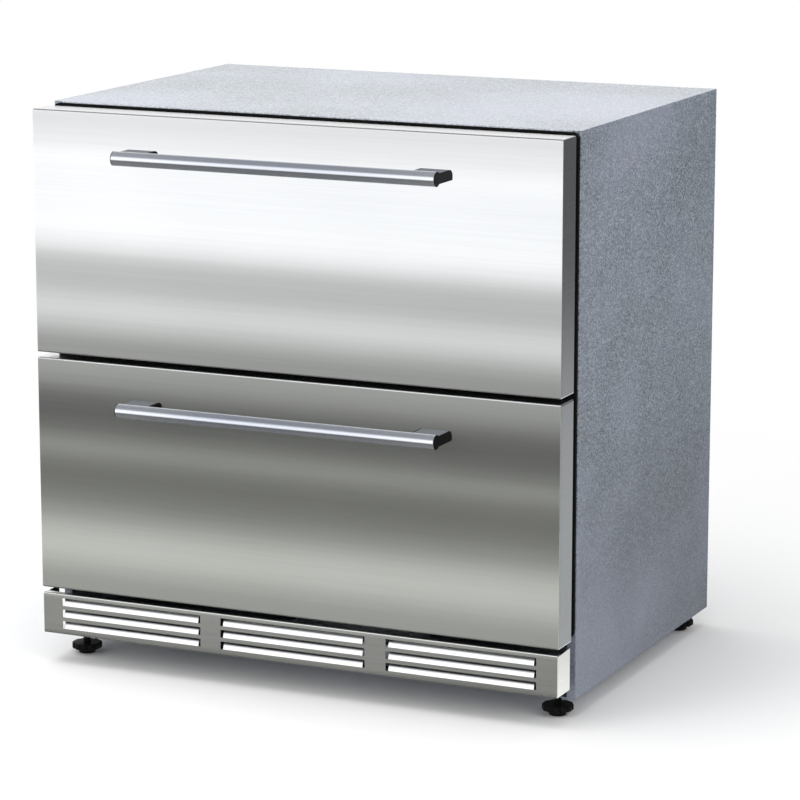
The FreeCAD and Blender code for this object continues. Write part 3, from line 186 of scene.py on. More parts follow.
def light_room():
    """A pale studio: bright in front at eye level, with a grey ceiling and a dark right side."""
    scene = bpy.context.scene
    scene.world = bpy.data.worlds.new("studio")
    scene.world.use_nodes = True
    tree = scene.world.node_tree
    tree.nodes.clear()
    graph = Graph(tree)
    heading = graph.split(graph.add("ShaderNodeTexCoord", out="Generated"))
    height = graph.spread(heading["Z"], -1, 1, 0, 1)
    front, back, right = (graph.ramp(height, ring_stops(ring)) for ring in
                          (FRONT_RING, BACK_RING, RIGHT_RING))
    behind = graph.spread(heading["Y"], 0.1, 0.6, 0, 1, smooth=True)
    across = graph.maths("MULTIPLY", heading["X"], RIGHT_HEADING[0])
    along = graph.maths("MULTIPLY", heading["Y"], RIGHT_HEADING[1])
    aside = graph.spread(graph.maths("ADD", across, along), 0.3, 0.6, 0, 1, smooth=True)
    mirrored = graph.mix(aside, graph.mix(behind, front, back), right)
    light = graph.add("ShaderNodeLightPath", out="Is Diffuse Ray")
    sky = graph.mix(light, mirrored, grey(SKY_LEVEL))
    graph.end("ShaderNodeOutputWorld", graph.add("ShaderNodeBackground", sky, 1.0))


# Name, place, aim, width and power of each soft lamp.
LAMPS = (
    ("top_softbox", (-0.6, -0.4, 3.2), (0, 0.05, 0.4), 3.0, 62),
    ("front_softbox", (-1.8, -3.4, 2.0), (0, 0, 0.45), 2.2, 34),
    ("right_softbox", (3.2, -0.6, 1.8), (0, 0.1, 0.4), 2.0, 22),
)


def hang_lamps():
    for name, place, aim, width, power in LAMPS:
        data = bpy.data.lights.new(name, "AREA")
        data.shape = "SQUARE"
        data.size = width
        data.energy = power
        lamp = bpy.data.objects.new(name, data)
        lamp.location = place
        lamp.rotation_euler = (Vector(aim) - Vector(place)).to_track_quat("-Z", "Y").to_euler()
        lamp.visible_camera = False
        lamp.visible_glossy = False
        bpy.context.scene.collection.objects.link(lamp)


FLOOR_REACH = 30.0
FLOOR_FADE = (0.9, 2.0)
FLOOR_LEVEL = 0.97


def lay_floor():
    """A white floor that keeps the shadow near the object and goes plain white further out."""
    reach = FLOOR_REACH
    data = bpy.data.meshes.new("floor")
    data.from_pydata([(-reach, -reach, 0), (reach, -reach, 0), (reach, reach, 0), (-reach, reach, 0)],
                     [], [(0, 1, 2, 3)])
    floor = bpy.data.objects.new("floor", data)
    bpy.context.scene.collection.objects.link(floor)
    paint = bpy.data.materials.new("floor_white")
    paint.use_nodes = True
    tree = paint.node_tree
    tree.nodes.clear()
    graph = Graph(tree)
    distance = graph.add("ShaderNodeVectorMath", graph.place(), operation="LENGTH", out="Value")
    far = graph.spread(distance, FLOOR_FADE[0], FLOOR_FADE[1], 0, 1, smooth=True)
    near = graph.add("ShaderNodeBsdfDiffuse", (*grey(FLOOR_LEVEL), 1))
    plain = graph.add("ShaderNodeEmission", (*grey(1.0), 1), 1.0)
    graph.end("ShaderNodeOutputMaterial", graph.add("ShaderNodeMixShader", far, near, plain))
    data.materials.append(paint)
    floor.visible_glossy = False


# ------------------------------------------------------------------ finishes

FINISHES = {}


class Finish(Graph):
    """One material around a Principled shader."""

    def __init__(self, name, metallic=0.0, **sockets):
        self.material = bpy.data.materials.new(name)
        self.material.use_nodes = True
        super().__init__(self.material.node_tree)
        self.surface = self.tree.nodes["Principled BSDF"]
        self.surface.inputs["Metallic"].default_value = metallic
        for label, value in sockets.items():
            self.surface.inputs[label.replace("_", " ")].default_value = value
        FINISHES[name] = self.material

    def colour(self, value):
        self.feed(value, self.surface.inputs["Base Color"])

    def rough(self, value):
        self.feed(value, self.surface.inputs["Roughness"])

    def bump(self, height, depth, normal=None):
        """Raises the surface by a height field, in millimetres."""
        node = self.tree.nodes.new("ShaderNodeBump")
        node.inputs["Strength"].default_value = 1.0
        node.inputs["Distance"].default_value = depth * MM
        self.feed(height, node.inputs["Height"])
        self.feed(normal, node.inputs["Normal"])
        self.feed(node.outputs[0], self.surface.inputs["Normal"])

    def painted_edge_highlight(self, colour, highlight_colour, amount):
        """Painted highlight: lightens the convex edges towards another colour, for the light that they
        catch.
        """
        edge = self.add("ShaderNodeNewGeometry", out="Pointiness")
        highlit = self.spread(edge, 0.505, 0.56, 0, amount)
        return self.mix(highlit, colour, highlight_colour)


def moulded(name, dark, light, rough, grain, depth, patch=9, edge_highlight=0.35, metallic=0.0, **sockets):
    """A moulded, painted or cast surface: cloudy tone, fine grain and convex edges lightened as a painted
    highlight.
    """
    item = Finish(name, metallic, **sockets)
    cloud = item.spread(item.noise(patch, detail=5), 0.35, 0.65, 0, 1, smooth=True)
    tone = item.mix(cloud, dark, light)
    # Painted highlight: a lighter colour for the convex edges.
    painted_edge_highlight = tuple(min(1.0, part * 1.5 + 0.03) for part in light)
    item.colour(item.painted_edge_highlight(tone, painted_edge_highlight, edge_highlight))
    speck = item.noise(grain, detail=2)
    item.rough(item.spread(item.noise(patch * 3, detail=4), 0.3, 0.7, *rough))
    item.bump(speck, depth)


# The slow waves of the thin drawer faces, as (height in metres, slope), chosen by the pale and
# dark bands that they mirror.
FACE_LEAN = ((0.14, -0.07), (0.2, -0.01), (0.25, -0.09), (0.31, -0.2), (0.36, -0.13), (0.41, -0.29),
             (0.45, -0.16), (0.48, -0.1), (0.52, -0.1), (0.57, 0.0), (0.62, -0.05), (0.66, 0.0),
             (0.71, 0.19), (0.79, 0.22), (0.82, 0.09), (0.86, 0.02))
LEAN_SPAN = 0.5


def even_lean(slope):
    """A sheet that leans by the same slope from foot to top."""
    return ((0.0, slope), (CABINET_TOP, slope))


# Painted reflection: between these heights the drawer faces turn from a warm grey to a cool one, after the
# warm and cool light that they mirror low and high.
PAINTED_TINT_REACH = (0.32, 0.62)


def brushed(name, stretch, tint, lean=(), roughness=(0.2, 0.27), depth=0.012, drawn=0.0, metallic=1.0,
            low_painted_tint=None, **sockets):
    """Satin metal with its grain along one axis, which draws what it mirrors out across the grain."""
    item = Finish(name, metallic, **sockets)
    if drawn:
        item.surface.inputs["Anisotropic"].default_value = drawn
        item.surface.inputs["Anisotropic Rotation"].default_value = 0.25
        tangent = item.add("ShaderNodeTangent", direction_type="RADIAL", axis="Z")
        item.feed(tangent, item.surface.inputs["Tangent"])
    grain = item.noise(1.0, stretch, detail=4, roughness=0.7)
    long_grain = item.noise(1.0, tuple(part * 0.33 for part in stretch), detail=2)
    streak = item.mix(0.5, grain, long_grain)
    height = item.split(item.place())["Z"]
    # Painted reflection tint: the colour turns with height from the low tint to the upper one.
    steel = item.mix(item.spread(height, *PAINTED_TINT_REACH, 0, 1), low_painted_tint or tint, tint)
    tone = item.mix(item.spread(streak, 0.3, 0.7, 0.1, 0), steel, grey(0))
    cloud = item.spread(item.noise(2.5, detail=2), 0.3, 0.7, 0, 0.16)
    # Painted highlight: the convex edges are lightened towards a pale grey.
    item.colour(item.painted_edge_highlight(item.mix(cloud, tone, grey(0.9)), grey(0.95), 0.3))
    item.rough(item.spread(grain, 0.25, 0.75, *roughness))
    normal = None
    if lean:
        share = item.maths("DIVIDE", height, CABINET_TOP)
        stops = [(place / CABINET_TOP, grey(0.5 + slope / LEAN_SPAN / 2)) for place, slope in lean]
        slope = item.spread(item.ramp(share, stops, "CARDINAL"), 0, 1, -LEAN_SPAN, LEAN_SPAN)
        tilt = item.add("ShaderNodeCombineXYZ", None, None, slope)
        flat = item.add("ShaderNodeNewGeometry", out="Normal")
        leaned = item.add("ShaderNodeVectorMath", flat, tilt, operation="ADD")
        normal = item.add("ShaderNodeVectorMath", leaned, operation="NORMALIZE")
    item.bump(streak, depth, normal)


# Painted shade: the zinc's colour is drawn darker towards the floor, between these heights.
PAINTED_SHADE_REACH = (0.05, 0.55)
PAINTED_SHADE_SHARE = 0.48


def spangled(name, dark, light, metallic, rough, scale):
    """Zinc-coated sheet with small crystals, each a little brighter or duller than the next."""
    item = Finish(name, metallic)
    crystal = item.cells(scale)
    parts = item.tree.nodes.new("ShaderNodeSeparateColor")
    item.feed(crystal, parts.inputs[0])
    fine = item.noise(scale * 2.2, detail=3, roughness=0.7)
    speck = item.spread(fine, 0.35, 0.68, 0, 1, smooth=True)
    flake = item.spread(item.mix(0.55, parts.outputs[0], speck), 0.12, 0.88, 0, 1, smooth=True)
    cloud = item.spread(item.noise(3.0, detail=4), 0.35, 0.65, 0, 0.35)
    # Painted shade: low down the crystals are mixed towards the dark zinc colour, for the shade on the
    # lower sides.
    painted_shade = item.spread(item.split(item.place())["Z"], *PAINTED_SHADE_REACH, PAINTED_SHADE_SHARE, 0, smooth=True)
    tone = item.mix(painted_shade, item.mix(flake, dark, light), dark)
    violet = tuple(part * tint for part, tint in zip(light, (0.98, 0.94, 1.06)))
    item.colour(item.mix(cloud, tone, violet))
    item.rough(item.spread(flake, 0, 1, *rough))
    item.bump(flake, 0.05)


def mix_finishes():
    """Every finish of the record, by its slot, and the extra ones for parts of a piece."""
    steel = (0.66, 0.66, 0.655)
    brushed("stainless_steel", (4, 700, 700), steel)
    # The drawer faces' colour carries a painted reflection, warm low down and cool high up.
    brushed("stainless_face", (4, 700, 700), (0.652, 0.665, 0.675), FACE_LEAN, (0.284, 0.3), 0.003,
            drawn=0.72, low_painted_tint=(0.648, 0.667, 0.615))
    brushed("stainless_hem", (700, 5, 700), (0.61, 0.655, 0.71), roughness=(0.14, 0.19))
    # Painted shade: the handle's tube and arms are darker, bluer copies of the stainless steel, for the
    # dark and bluish light that they mirror.
    brushed("bar_steel", (4, 900, 900), (0.50, 0.525, 0.59), roughness=(0.09, 0.14), metallic=0.85)
    brushed("arm_steel", (500, 60, 500), (0.19, 0.2, 0.225), roughness=(0.26, 0.34), depth=0.006,
            Specular_Tint=(0.4, 0.41, 0.45, 1))
    brushed("grille_steel", (4, 700, 700), (0.655, 0.665, 0.635), even_lean(-0.035))
    brushed("return_steel", (700, 5, 700), steel, even_lean(-0.07), (0.12, 0.17))
    spangled("galvanised_steel", (0.05, 0.062, 0.08), (0.42, 0.47, 0.535), 0.15, (0.4, 0.56), 430)
    spangled("lid_steel", (0.21, 0.24, 0.265), (0.78, 0.815, 0.85), 0.4, (0.34, 0.5), 430)
    jet = {"Specular_IOR_Level": 0.03}
    moulded("black_frame", grey(0.004), grey(0.007), (0.4, 0.5), 900, 0.02, edge_highlight=0.1, **jet)
    moulded("gasket_rubber", grey(0.006), grey(0.010), (0.5, 0.62), 500, 0.03, edge_highlight=0.1, **jet)
    moulded("black_plastic", grey(0.004), grey(0.008), (0.34, 0.46), 1200, 0.02, edge_highlight=0.12, **jet)
    foam_cells("insulation_foam")
    moulded("liner_plastic", (0.80, 0.82, 0.83), (0.86, 0.87, 0.88), (0.28, 0.36), 350, 0.03, edge_highlight=0.1)
    moulded("bin_plastic", (0.70, 0.73, 0.76), (0.78, 0.80, 0.82), (0.22, 0.32), 300, 0.03, edge_highlight=0.15)
    brushed("slide_steel", (300, 6, 300), (0.62, 0.63, 0.66), roughness=(0.28, 0.4))
    brushed("screw_steel", (500, 500, 500), (0.58, 0.59, 0.61), roughness=(0.26, 0.4))
    moulded("compressor_paint", grey(0.012), grey(0.02), (0.2, 0.32), 60, 0.12, edge_highlight=0.3,
            Coat_Weight=0.4, Coat_Roughness=0.2)
    moulded("mount_rubber", grey(0.03), grey(0.05), (0.6, 0.75), 700, 0.04)
    brushed("coil_aluminium", (300, 300, 60), (0.72, 0.73, 0.75), roughness=(0.3, 0.45))
    moulded("fan_plastic", grey(0.03), grey(0.045), (0.38, 0.5), 700, 0.04)
    moulded("motor_metal", grey(0.10), grey(0.14), (0.35, 0.5), 500, 0.03, metallic=0.6)
    moulded("line_copper", (0.62, 0.30, 0.18), (0.78, 0.42, 0.28), (0.22, 0.4), 200, 0.02, patch=30,
            metallic=1.0)
    moulded("window_plastic", (0.010, 0.012, 0.018), (0.014, 0.017, 0.024), (0.06, 0.1), 400, 0.004,
            edge_highlight=0.1)
    board_tracks("board_green")
    moulded("button_plastic", grey(0.30, COOL), grey(0.36, COOL), (0.32, 0.42), 900, 0.02)
    moulded("lamp_plastic", (0.84, 0.86, 0.84), (0.90, 0.91, 0.89), (0.3, 0.42), 260, 0.05, edge_highlight=0.05)


def foam_cells(name):
    """Cut rigid foam with its closed cells."""
    item = Finish(name)
    cell = item.cells(420, "DISTANCE_TO_EDGE", "Distance")
    wall = item.spread(cell, 0.0, 0.18, 0, 1)
    item.colour(item.mix(wall, (0.80, 0.70, 0.42), (0.66, 0.55, 0.28)))
    item.rough(item.spread(item.noise(80), 0.3, 0.7, 0.75, 0.9))
    item.bump(wall, 0.3)


def board_tracks(name):
    """A green board with its copper tracks showing through the lacquer."""
    item = Finish(name)
    tracks = item.tree.nodes.new("ShaderNodeTexBrick")
    item.feed(item.place((1, 0, 1)), tracks.inputs["Vector"])
    tracks.inputs["Scale"].default_value = 160
    shade = item.spread(tracks.outputs["Fac"], 0, 1, 0, 1)
    item.colour(item.mix(shade, (0.02, 0.14, 0.06), (0.06, 0.26, 0.10)))
    item.rough(item.spread(item.noise(300), 0.3, 0.7, 0.3, 0.45))
    item.bump(shade, 0.03)


# ------------------------------------------------------------------ shaping

def spot(axis, u, v, along):
    """A point from its two cross coordinates and its place along an axis."""
    if axis == "X":
        return (along, u, v)
    if axis == "Y":
        return (u, along, v)
    return (u, v, along)


def rectangle(left, right, bottom, top):
    return [(left, bottom), (right, bottom), (right, top), (left, top)]


def rounded(corners, radius, steps=5):
    """An outline with its corners rounded, by one radius or one for each corner."""
    outline = []
    count = len(corners)
    radii = radius if isinstance(radius, (list, tuple)) else [radius] * count
    for index, corner in enumerate(corners):
        here = Vector(corner)
        reach = radii[index]
        if reach <= 0:
            outline.append(tuple(here))
            continue
        back = (Vector(corners[index - 1]) - here).normalized()
        ahead = (Vector(corners[(index + 1) % count]) - here).normalized()
        half = back.angle(ahead) / 2
        run = reach / math.tan(half)
        centre = here + (back + ahead).normalized() * (reach / math.sin(half))
        first = here + back * run - centre
        last = here + ahead * run - centre
        start = math.atan2(first.y, first.x)
        sweep = (math.atan2(last.y, last.x) - start + math.pi) % (2 * math.pi) - math.pi
        for step in range(steps + 1):
            angle = start + sweep * step / steps
            outline.append((centre.x + reach * math.cos(angle), centre.y + reach * math.sin(angle)))
    return outline


class Form:
    """A piece while it is being shaped, in millimetres."""

    def __init__(self):
        self.mesh = bmesh.new()

    def ring(self, points):
        return [self.mesh.verts.new(point) for point in points]

    def face(self, corners, look=0):
        made = self.mesh.faces.new(corners)
        made.material_index = look
        return made

    def skin(self, rings, look=0, loop=False):
        """Joins equal rings one after the other, and closes the ends or joins the last to the first."""
        pairs = list(zip(rings, rings[1:]))
        if loop:
            pairs.append((rings[-1], rings[0]))
        for near, far in pairs:
            count = len(near)
            for index in range(count):
                after = (index + 1) % count
                self.face([near[index], near[after], far[after], far[index]], look)
        if not loop:
            self.face(list(reversed(rings[0])), look)
            self.face(rings[-1], look)

    def prism(self, axis, low, high, outline, look=0):
        """A straight bar with any outline."""
        self.skin([self.ring(spot(axis, u, v, place) for u, v in outline) for place in (low, high)], look)

    def box(self, low, high):
        self.prism("Z", low[2], high[2], rectangle(low[0], high[0], low[1], high[1]))

    def lathe(self, axis, centre, profile, steps=48, hollow=False):
        """Turns a profile of (along, radius) round an axis."""
        angles = [2 * math.pi * step / steps for step in range(steps)]
        rings = []
        for along, radius in profile:
            rings.append(self.ring(spot(axis, centre[0] + radius * math.cos(angle),
                                        centre[1] + radius * math.sin(angle), along) for angle in angles))
        self.skin(rings, loop=hollow)

    def plate(self, axis, low, high, us, vs, is_open):
        """A flat sheet on a grid of cuts, with walls round each cell that is open."""
        corners = {}

        def corner(column, row, side):
            key = (column, row, side)
            if key not in corners:
                place = low if side == 0 else high
                corners[key] = self.mesh.verts.new(spot(axis, us[column], vs[row], place))
            return corners[key]

        def solid(column, row):
            if not (0 <= column < len(us) - 1 and 0 <= row < len(vs) - 1):
                return False
            return not is_open((us[column] + us[column + 1]) / 2, (vs[row] + vs[row + 1]) / 2)

        for column in range(len(us) - 1):
            for row in range(len(vs) - 1):
                if not solid(column, row):
                    continue
                loop = [(column, row), (column + 1, row), (column + 1, row + 1), (column, row + 1)]
                self.face([corner(*place, 0) for place in reversed(loop)])
                self.face([corner(*place, 1) for place in loop])
                beyond = [(column, row - 1), (column + 1, row), (column, row + 1), (column - 1, row)]
                for index, neighbour in enumerate(beyond):
                    if not solid(*neighbour):
                        first, second = loop[index], loop[(index + 1) % 4]
                        self.face([corner(*first, 0), corner(*second, 0), corner(*second, 1),
                                   corner(*first, 1)])


def settle(item):
    """Turns a piece and its modifiers into a plain mesh."""
    graph = bpy.context.evaluated_depsgraph_get()
    plain = bpy.data.meshes.new_from_object(item.evaluated_get(graph))
    item.modifiers.clear()
    item.data = plain
    plain.name = item.name


SHARP = math.radians(50)
EASED = math.radians(40)
MERGED = 0.002


def smooth(item):
    """Rounds the shading across soft edges and keeps flat faces flat."""
    data = item.data
    for face in data.polygons:
        face.use_smooth = True
    data.set_sharp_from_angle(angle=SHARP)
    weighted = item.modifiers.new("flat_faces", "WEIGHTED_NORMAL")
    weighted.keep_sharp = True
    weighted.weight = 100
    settle(item)


def join(item, body, node):
    """Says what a piece moves with and hides the node of the frame that it stands for."""
    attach(item, body)
    if node:
        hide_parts(node)


def bend_edges(mesh, edges, radius, steps):
    """Rounds some edges of a mesh."""
    bmesh.ops.bevel(mesh, geom=edges, offset=radius, segments=steps, profile=0.5, affect="EDGES",
                    clamp_overlap=True)


def mend(mesh):
    """Merges what meets and turns every face outwards."""
    bmesh.ops.remove_doubles(mesh, verts=mesh.verts, dist=MERGED)
    bmesh.ops.recalc_face_normals(mesh, faces=mesh.faces)


def make_item(name, mesh):
    """An object from a form's mesh, brought from millimetres to metres."""
    data = bpy.data.meshes.new(name)
    mesh.to_mesh(data)
    mesh.free()
    data.transform(Matrix.Scale(MM, 4))
    return bpy.data.objects.new(name, data)


def finished(name, form, body, node, slot, looks=None, edge=0.0, steps=2, sheet=0.0, dress=None,
             heal=True):
    """Makes a piece from its form: mended, given its wall and eased edges, smoothed and joined on."""
    if heal:
        mend(form.mesh)
    item = make_item(name, form.mesh)
    for look in looks or [slot]:
        item.data.materials.append(FINISHES[look])
    bpy.context.scene.collection.objects.link(item)
    if sheet:
        wall = item.modifiers.new("sheet", "SOLIDIFY")
        wall.thickness = sheet * MM
        wall.offset = -1
        wall.use_even_offset = True
    if edge:
        ease = item.modifiers.new("edges", "BEVEL")
        ease.width = edge * MM
        ease.segments = steps
        ease.limit_method = "ANGLE"
        ease.angle_limit = EASED
        ease.use_clamp_overlap = True
        ease.miter_outer = "MITER_ARC"
    if sheet or edge:
        settle(item)
    smooth(item)
    if dress:
        for face in item.data.polygons:
            face.material_index = dress(face.normal)
    join(item, body, node)
    return item


def open_box(outline, half, is_rim):
    """The outside of a box from its side outline (y, z), with one open face and sharp edges."""
    form = Form()
    left, right = (form.ring((side * half, y, z) for y, z in outline) for side in (-1, 1))
    form.face(list(reversed(left)))
    form.face(right)
    for index, corner in enumerate(outline):
        after = (index + 1) % len(outline)
        if not (is_rim(corner) and is_rim(outline[after])):
            form.face([left[index], left[after], right[after], right[index]])
    return form


def soften(form, radius, steps):
    """Bends every edge of an open box but those of its rim."""
    soft = [line for line in form.mesh.edges if not line.is_boundary]
    bend_edges(form.mesh, soft, radius, steps)


# ------------------------------------------------------------------ patterns of Geometry Nodes

class Pattern:
    """A tree that repeats or sweeps a shape, with named inputs for its sizes."""

    def __init__(self, name, **inputs):
        self.tree = bpy.data.node_groups.new(name, "GeometryNodeTree")
        self.name = name
        face = self.tree.interface
        face.new_socket("Geometry", in_out="INPUT", socket_type="NodeSocketGeometry")
        face.new_socket("Geometry", in_out="OUTPUT", socket_type="NodeSocketGeometry")
        self.sockets = {label: face.new_socket(label, in_out="INPUT", socket_type=f"NodeSocket{kind}")
                        for label, kind in inputs.items()}
        self.given = self.tree.nodes.new("NodeGroupInput")

    def add(self, kind, links=(), out=0, **settings):
        node = self.tree.nodes.new(kind)
        for name, value in settings.items():
            setattr(node, name, value)
        for label, value in dict(links).items():
            socket = node.inputs[label]
            if isinstance(value, bpy.types.NodeSocket):
                self.tree.links.new(value, socket)
            else:
                socket.default_value = value
        return node.outputs[out]

    def asked(self, label):
        return self.given.outputs[label]

    def close(self, geometry):
        """Ends the tree in real geometry with its finish."""
        real = self.add("GeometryNodeRealizeInstances", {"Geometry": geometry})
        done = self.add("GeometryNodeSetMaterial", {"Geometry": real, "Material": self.asked("Finish")})
        output = self.tree.nodes.new("NodeGroupOutput")
        self.tree.links.new(done, output.inputs[0])

    def make(self, name, body, node, slot, base=None, **values):
        """Runs the tree with its sizes and turns the result into a plain piece."""
        data = bpy.data.meshes.new(name)
        if base:
            data.from_pydata(*base)
        item = bpy.data.objects.new(name, data)
        bpy.context.scene.collection.objects.link(item)
        modifier = item.modifiers.new(name, "NODES")
        modifier.node_group = self.tree
        values["Finish"] = FINISHES[slot]
        for label, value in values.items():
            modifier[self.sockets[label].identifier] = value
        settle(item)
        smooth(item)
        join(item, body, node)
        if "Piece" in values:
            bpy.data.objects.remove(values["Piece"])


def rows_pattern():
    """Copies of one shape in columns and rows."""
    pattern = Pattern("rows_of_copies", Piece="Object", First="Vector", Columns="Int", Column_step="Vector",
                      Rows="Int", Row_step="Vector", Finish="Material")
    asked = pattern.asked
    columns = pattern.add("GeometryNodeMeshLine", {
        "Count": asked("Columns"), "Start Location": asked("First"), "Offset": asked("Column_step")})
    rows = pattern.add("GeometryNodeMeshLine", {"Count": asked("Rows"), "Offset": asked("Row_step")})
    grid = pattern.add("GeometryNodeInstanceOnPoints", {"Points": columns, "Instance": rows})
    points = pattern.add("GeometryNodeRealizeInstances", {"Geometry": grid})
    piece = pattern.add("GeometryNodeObjectInfo", {"Object": asked("Piece")}, out="Geometry")
    copies = pattern.add("GeometryNodeInstanceOnPoints", {"Points": points, "Instance": piece})
    pattern.close(copies)
    return pattern


def ring_pattern():
    """Copies of one shape, each turned a step further about one axis."""
    pattern = Pattern("ring_of_copies", Piece="Object", Centre="Vector", Turn="Vector", Count="Int",
                      Finish="Material")
    asked = pattern.asked
    line = pattern.add("GeometryNodeMeshLine", {
        "Count": asked("Count"), "Start Location": asked("Centre"), "Offset": (0, 0, 0)})
    index = pattern.add("GeometryNodeInputIndex")
    step = pattern.add("ShaderNodeMath", {0: index, 1: asked("Count")}, operation="DIVIDE")
    angle = pattern.add("ShaderNodeMath", {0: step, 1: 2 * math.pi}, operation="MULTIPLY")
    turn = pattern.add("ShaderNodeVectorMath", {0: asked("Turn"), "Scale": angle}, operation="SCALE")
    piece = pattern.add("GeometryNodeObjectInfo", {"Object": asked("Piece")}, out="Geometry")
    copies = pattern.add("GeometryNodeInstanceOnPoints", {
        "Points": line, "Instance": piece, "Rotation": turn})
    pattern.close(copies)
    return pattern


def frame_pattern():
    """A section swept round an upright rounded rectangle."""
    pattern = Pattern("section_round_a_frame", Width="Float", Height="Float", Corner="Float",
                      Centre="Vector", Finish="Material")
    asked = pattern.asked
    path = pattern.add("GeometryNodeCurvePrimitiveQuadrilateral", {
        "Width": asked("Width"), "Height": asked("Height")})
    bent = pattern.add("GeometryNodeFilletCurve", {
        "Curve": path, "Radius": asked("Corner"), "Count": 8, "Limit Radius": True}, mode="POLY")
    upright = pattern.add("GeometryNodeTransform", {
        "Geometry": bent, "Translation": asked("Centre"), "Rotation": (math.radians(90), 0, 0)})
    section = pattern.add("GeometryNodeMeshToCurve", {"Mesh": asked("Geometry")})
    swept = pattern.add("GeometryNodeCurveToMesh", {
        "Curve": upright, "Profile Curve": section, "Fill Caps": False})
    pattern.close(swept)
    return pattern


def spots_pattern():
    """Copies of one shape at the points of a piece's own mesh."""
    pattern = Pattern("copies_at_spots", Piece="Object", Finish="Material")
    piece = pattern.add("GeometryNodeObjectInfo", {"Object": pattern.asked("Piece")}, out="Geometry")
    copies = pattern.add("GeometryNodeInstanceOnPoints", {
        "Points": pattern.asked("Geometry"), "Instance": piece})
    pattern.close(copies)
    return pattern


def pipe_pattern():
    """A round tube along the edges of a piece's own mesh."""
    pattern = Pattern("tube_along_a_path", Radius="Float", Finish="Material")
    path = pattern.add("GeometryNodeMeshToCurve", {"Mesh": pattern.asked("Geometry")})
    section = pattern.add("GeometryNodeCurvePrimitiveCircle", {
        "Resolution": 16, "Radius": pattern.asked("Radius")})
    swept = pattern.add("GeometryNodeCurveToMesh", {
        "Curve": path, "Profile Curve": section, "Fill Caps": True})
    pattern.close(swept)
    return pattern


def master(name, form):
    """A shape to be copied by a pattern, which drops it once the copies are made."""
    mend(form.mesh)
    return make_item(name, form.mesh)


def metres(*values):
    return tuple(value * MM for value in values)


def repeat(rows, name, body, node, slot, form, first, columns, step, row_count=1, row_step=(0, 0, 1)):
    """Copies of a form in columns and rows, with its places in millimetres."""
    rows.make(name, body, node, slot, Piece=master(f"{name}_one", form), First=metres(*first),
              Columns=columns, Column_step=metres(*step), Rows=row_count, Row_step=metres(*row_step))


# ------------------------------------------------------------------ sizes shared by the pieces, in mm

HALF = 438.0
FACE_Y = -291.5
SEAL_Y = -243.5
BODY_Y = -223.5
REAR_Y = 355.5
FRONTS = {"upper": (499.4, 877.4), "lower": (123.4, 491.4)}
FRONT_BEND = 2.5
SKIN = 1.2


# ------------------------------------------------------------------ fronts and handles

def dress_front(normal):
    """Picks the leaning face, the hems with their grain front to back, or the top and bottom."""
    if normal.y < -0.75:
        return 0
    return 1 if abs(normal.x) > 0.6 else 2


def drawer_fronts():
    """The folded steel tray of each drawer front."""
    for prefix, (bottom, top) in FRONTS.items():
        form = open_box(rectangle(FACE_Y, SEAL_Y, bottom, top), HALF, lambda corner: corner[0] == SEAL_Y)
        form.mesh.normal_update()
        soften(form, FRONT_BEND, 6)
        finished(f"{prefix}_front_sheet", form, f"{prefix}_drawer", f"{prefix}_front_skin",
                 "stainless_steel", looks=["stainless_face", "stainless_hem", "stainless_steel"],
                 sheet=SKIN, dress=dress_front, heal=False)


BAR_Y = -346.5
BAR_RADIUS = 11.0
BAR_WALL = 1.5
BAR_EASE = 0.3
BAR_HALF = 265.5
BAR_DROP = 60.0
CAP = 3.0
END_PLATE = 1.2
PLUG = 12.0
ARM_WIDTH = 47.0
ARM_HALF_HEIGHT = 8.0
ARM_SHOULDER = 10.0
ARM_HEEL = 1.5
ARM_GAP = 0.05


def arm_profile(axis_z):
    """The side outline of an arm without its front end, rounded where it meets the front, as (y, z)."""
    corners = rectangle(BAR_Y, FACE_Y, axis_z - ARM_HALF_HEIGHT, axis_z + ARM_HALF_HEIGHT)
    return rounded(corners, [0, ARM_HEEL, ARM_SHOULDER, 0], 10)[1:-1]


def on_bar(axis_z, radius, angle):
    return (BAR_Y + radius * math.cos(angle), axis_z + radius * math.sin(angle))


def saddled(axis_z, radius, steps=5):
    """An arm's outline with its front hollowed out to lie against the bar."""
    turn = math.asin(ARM_HALF_HEIGHT / radius)
    hollow = [on_bar(axis_z, radius, turn - 2 * turn * step / steps) for step in range(steps + 1)]
    return arm_profile(axis_z) + hollow


def nosed(axis_z, radius, steps=32):
    """An arm's outline carried on round the front of the bar, for the end plates."""
    turn = math.asin(ARM_HALF_HEIGHT / radius)
    sweep = 2 * math.pi - 2 * turn
    nose = [on_bar(axis_z, radius, turn + sweep * step / steps) for step in range(steps + 1)]
    return arm_profile(axis_z) + nose


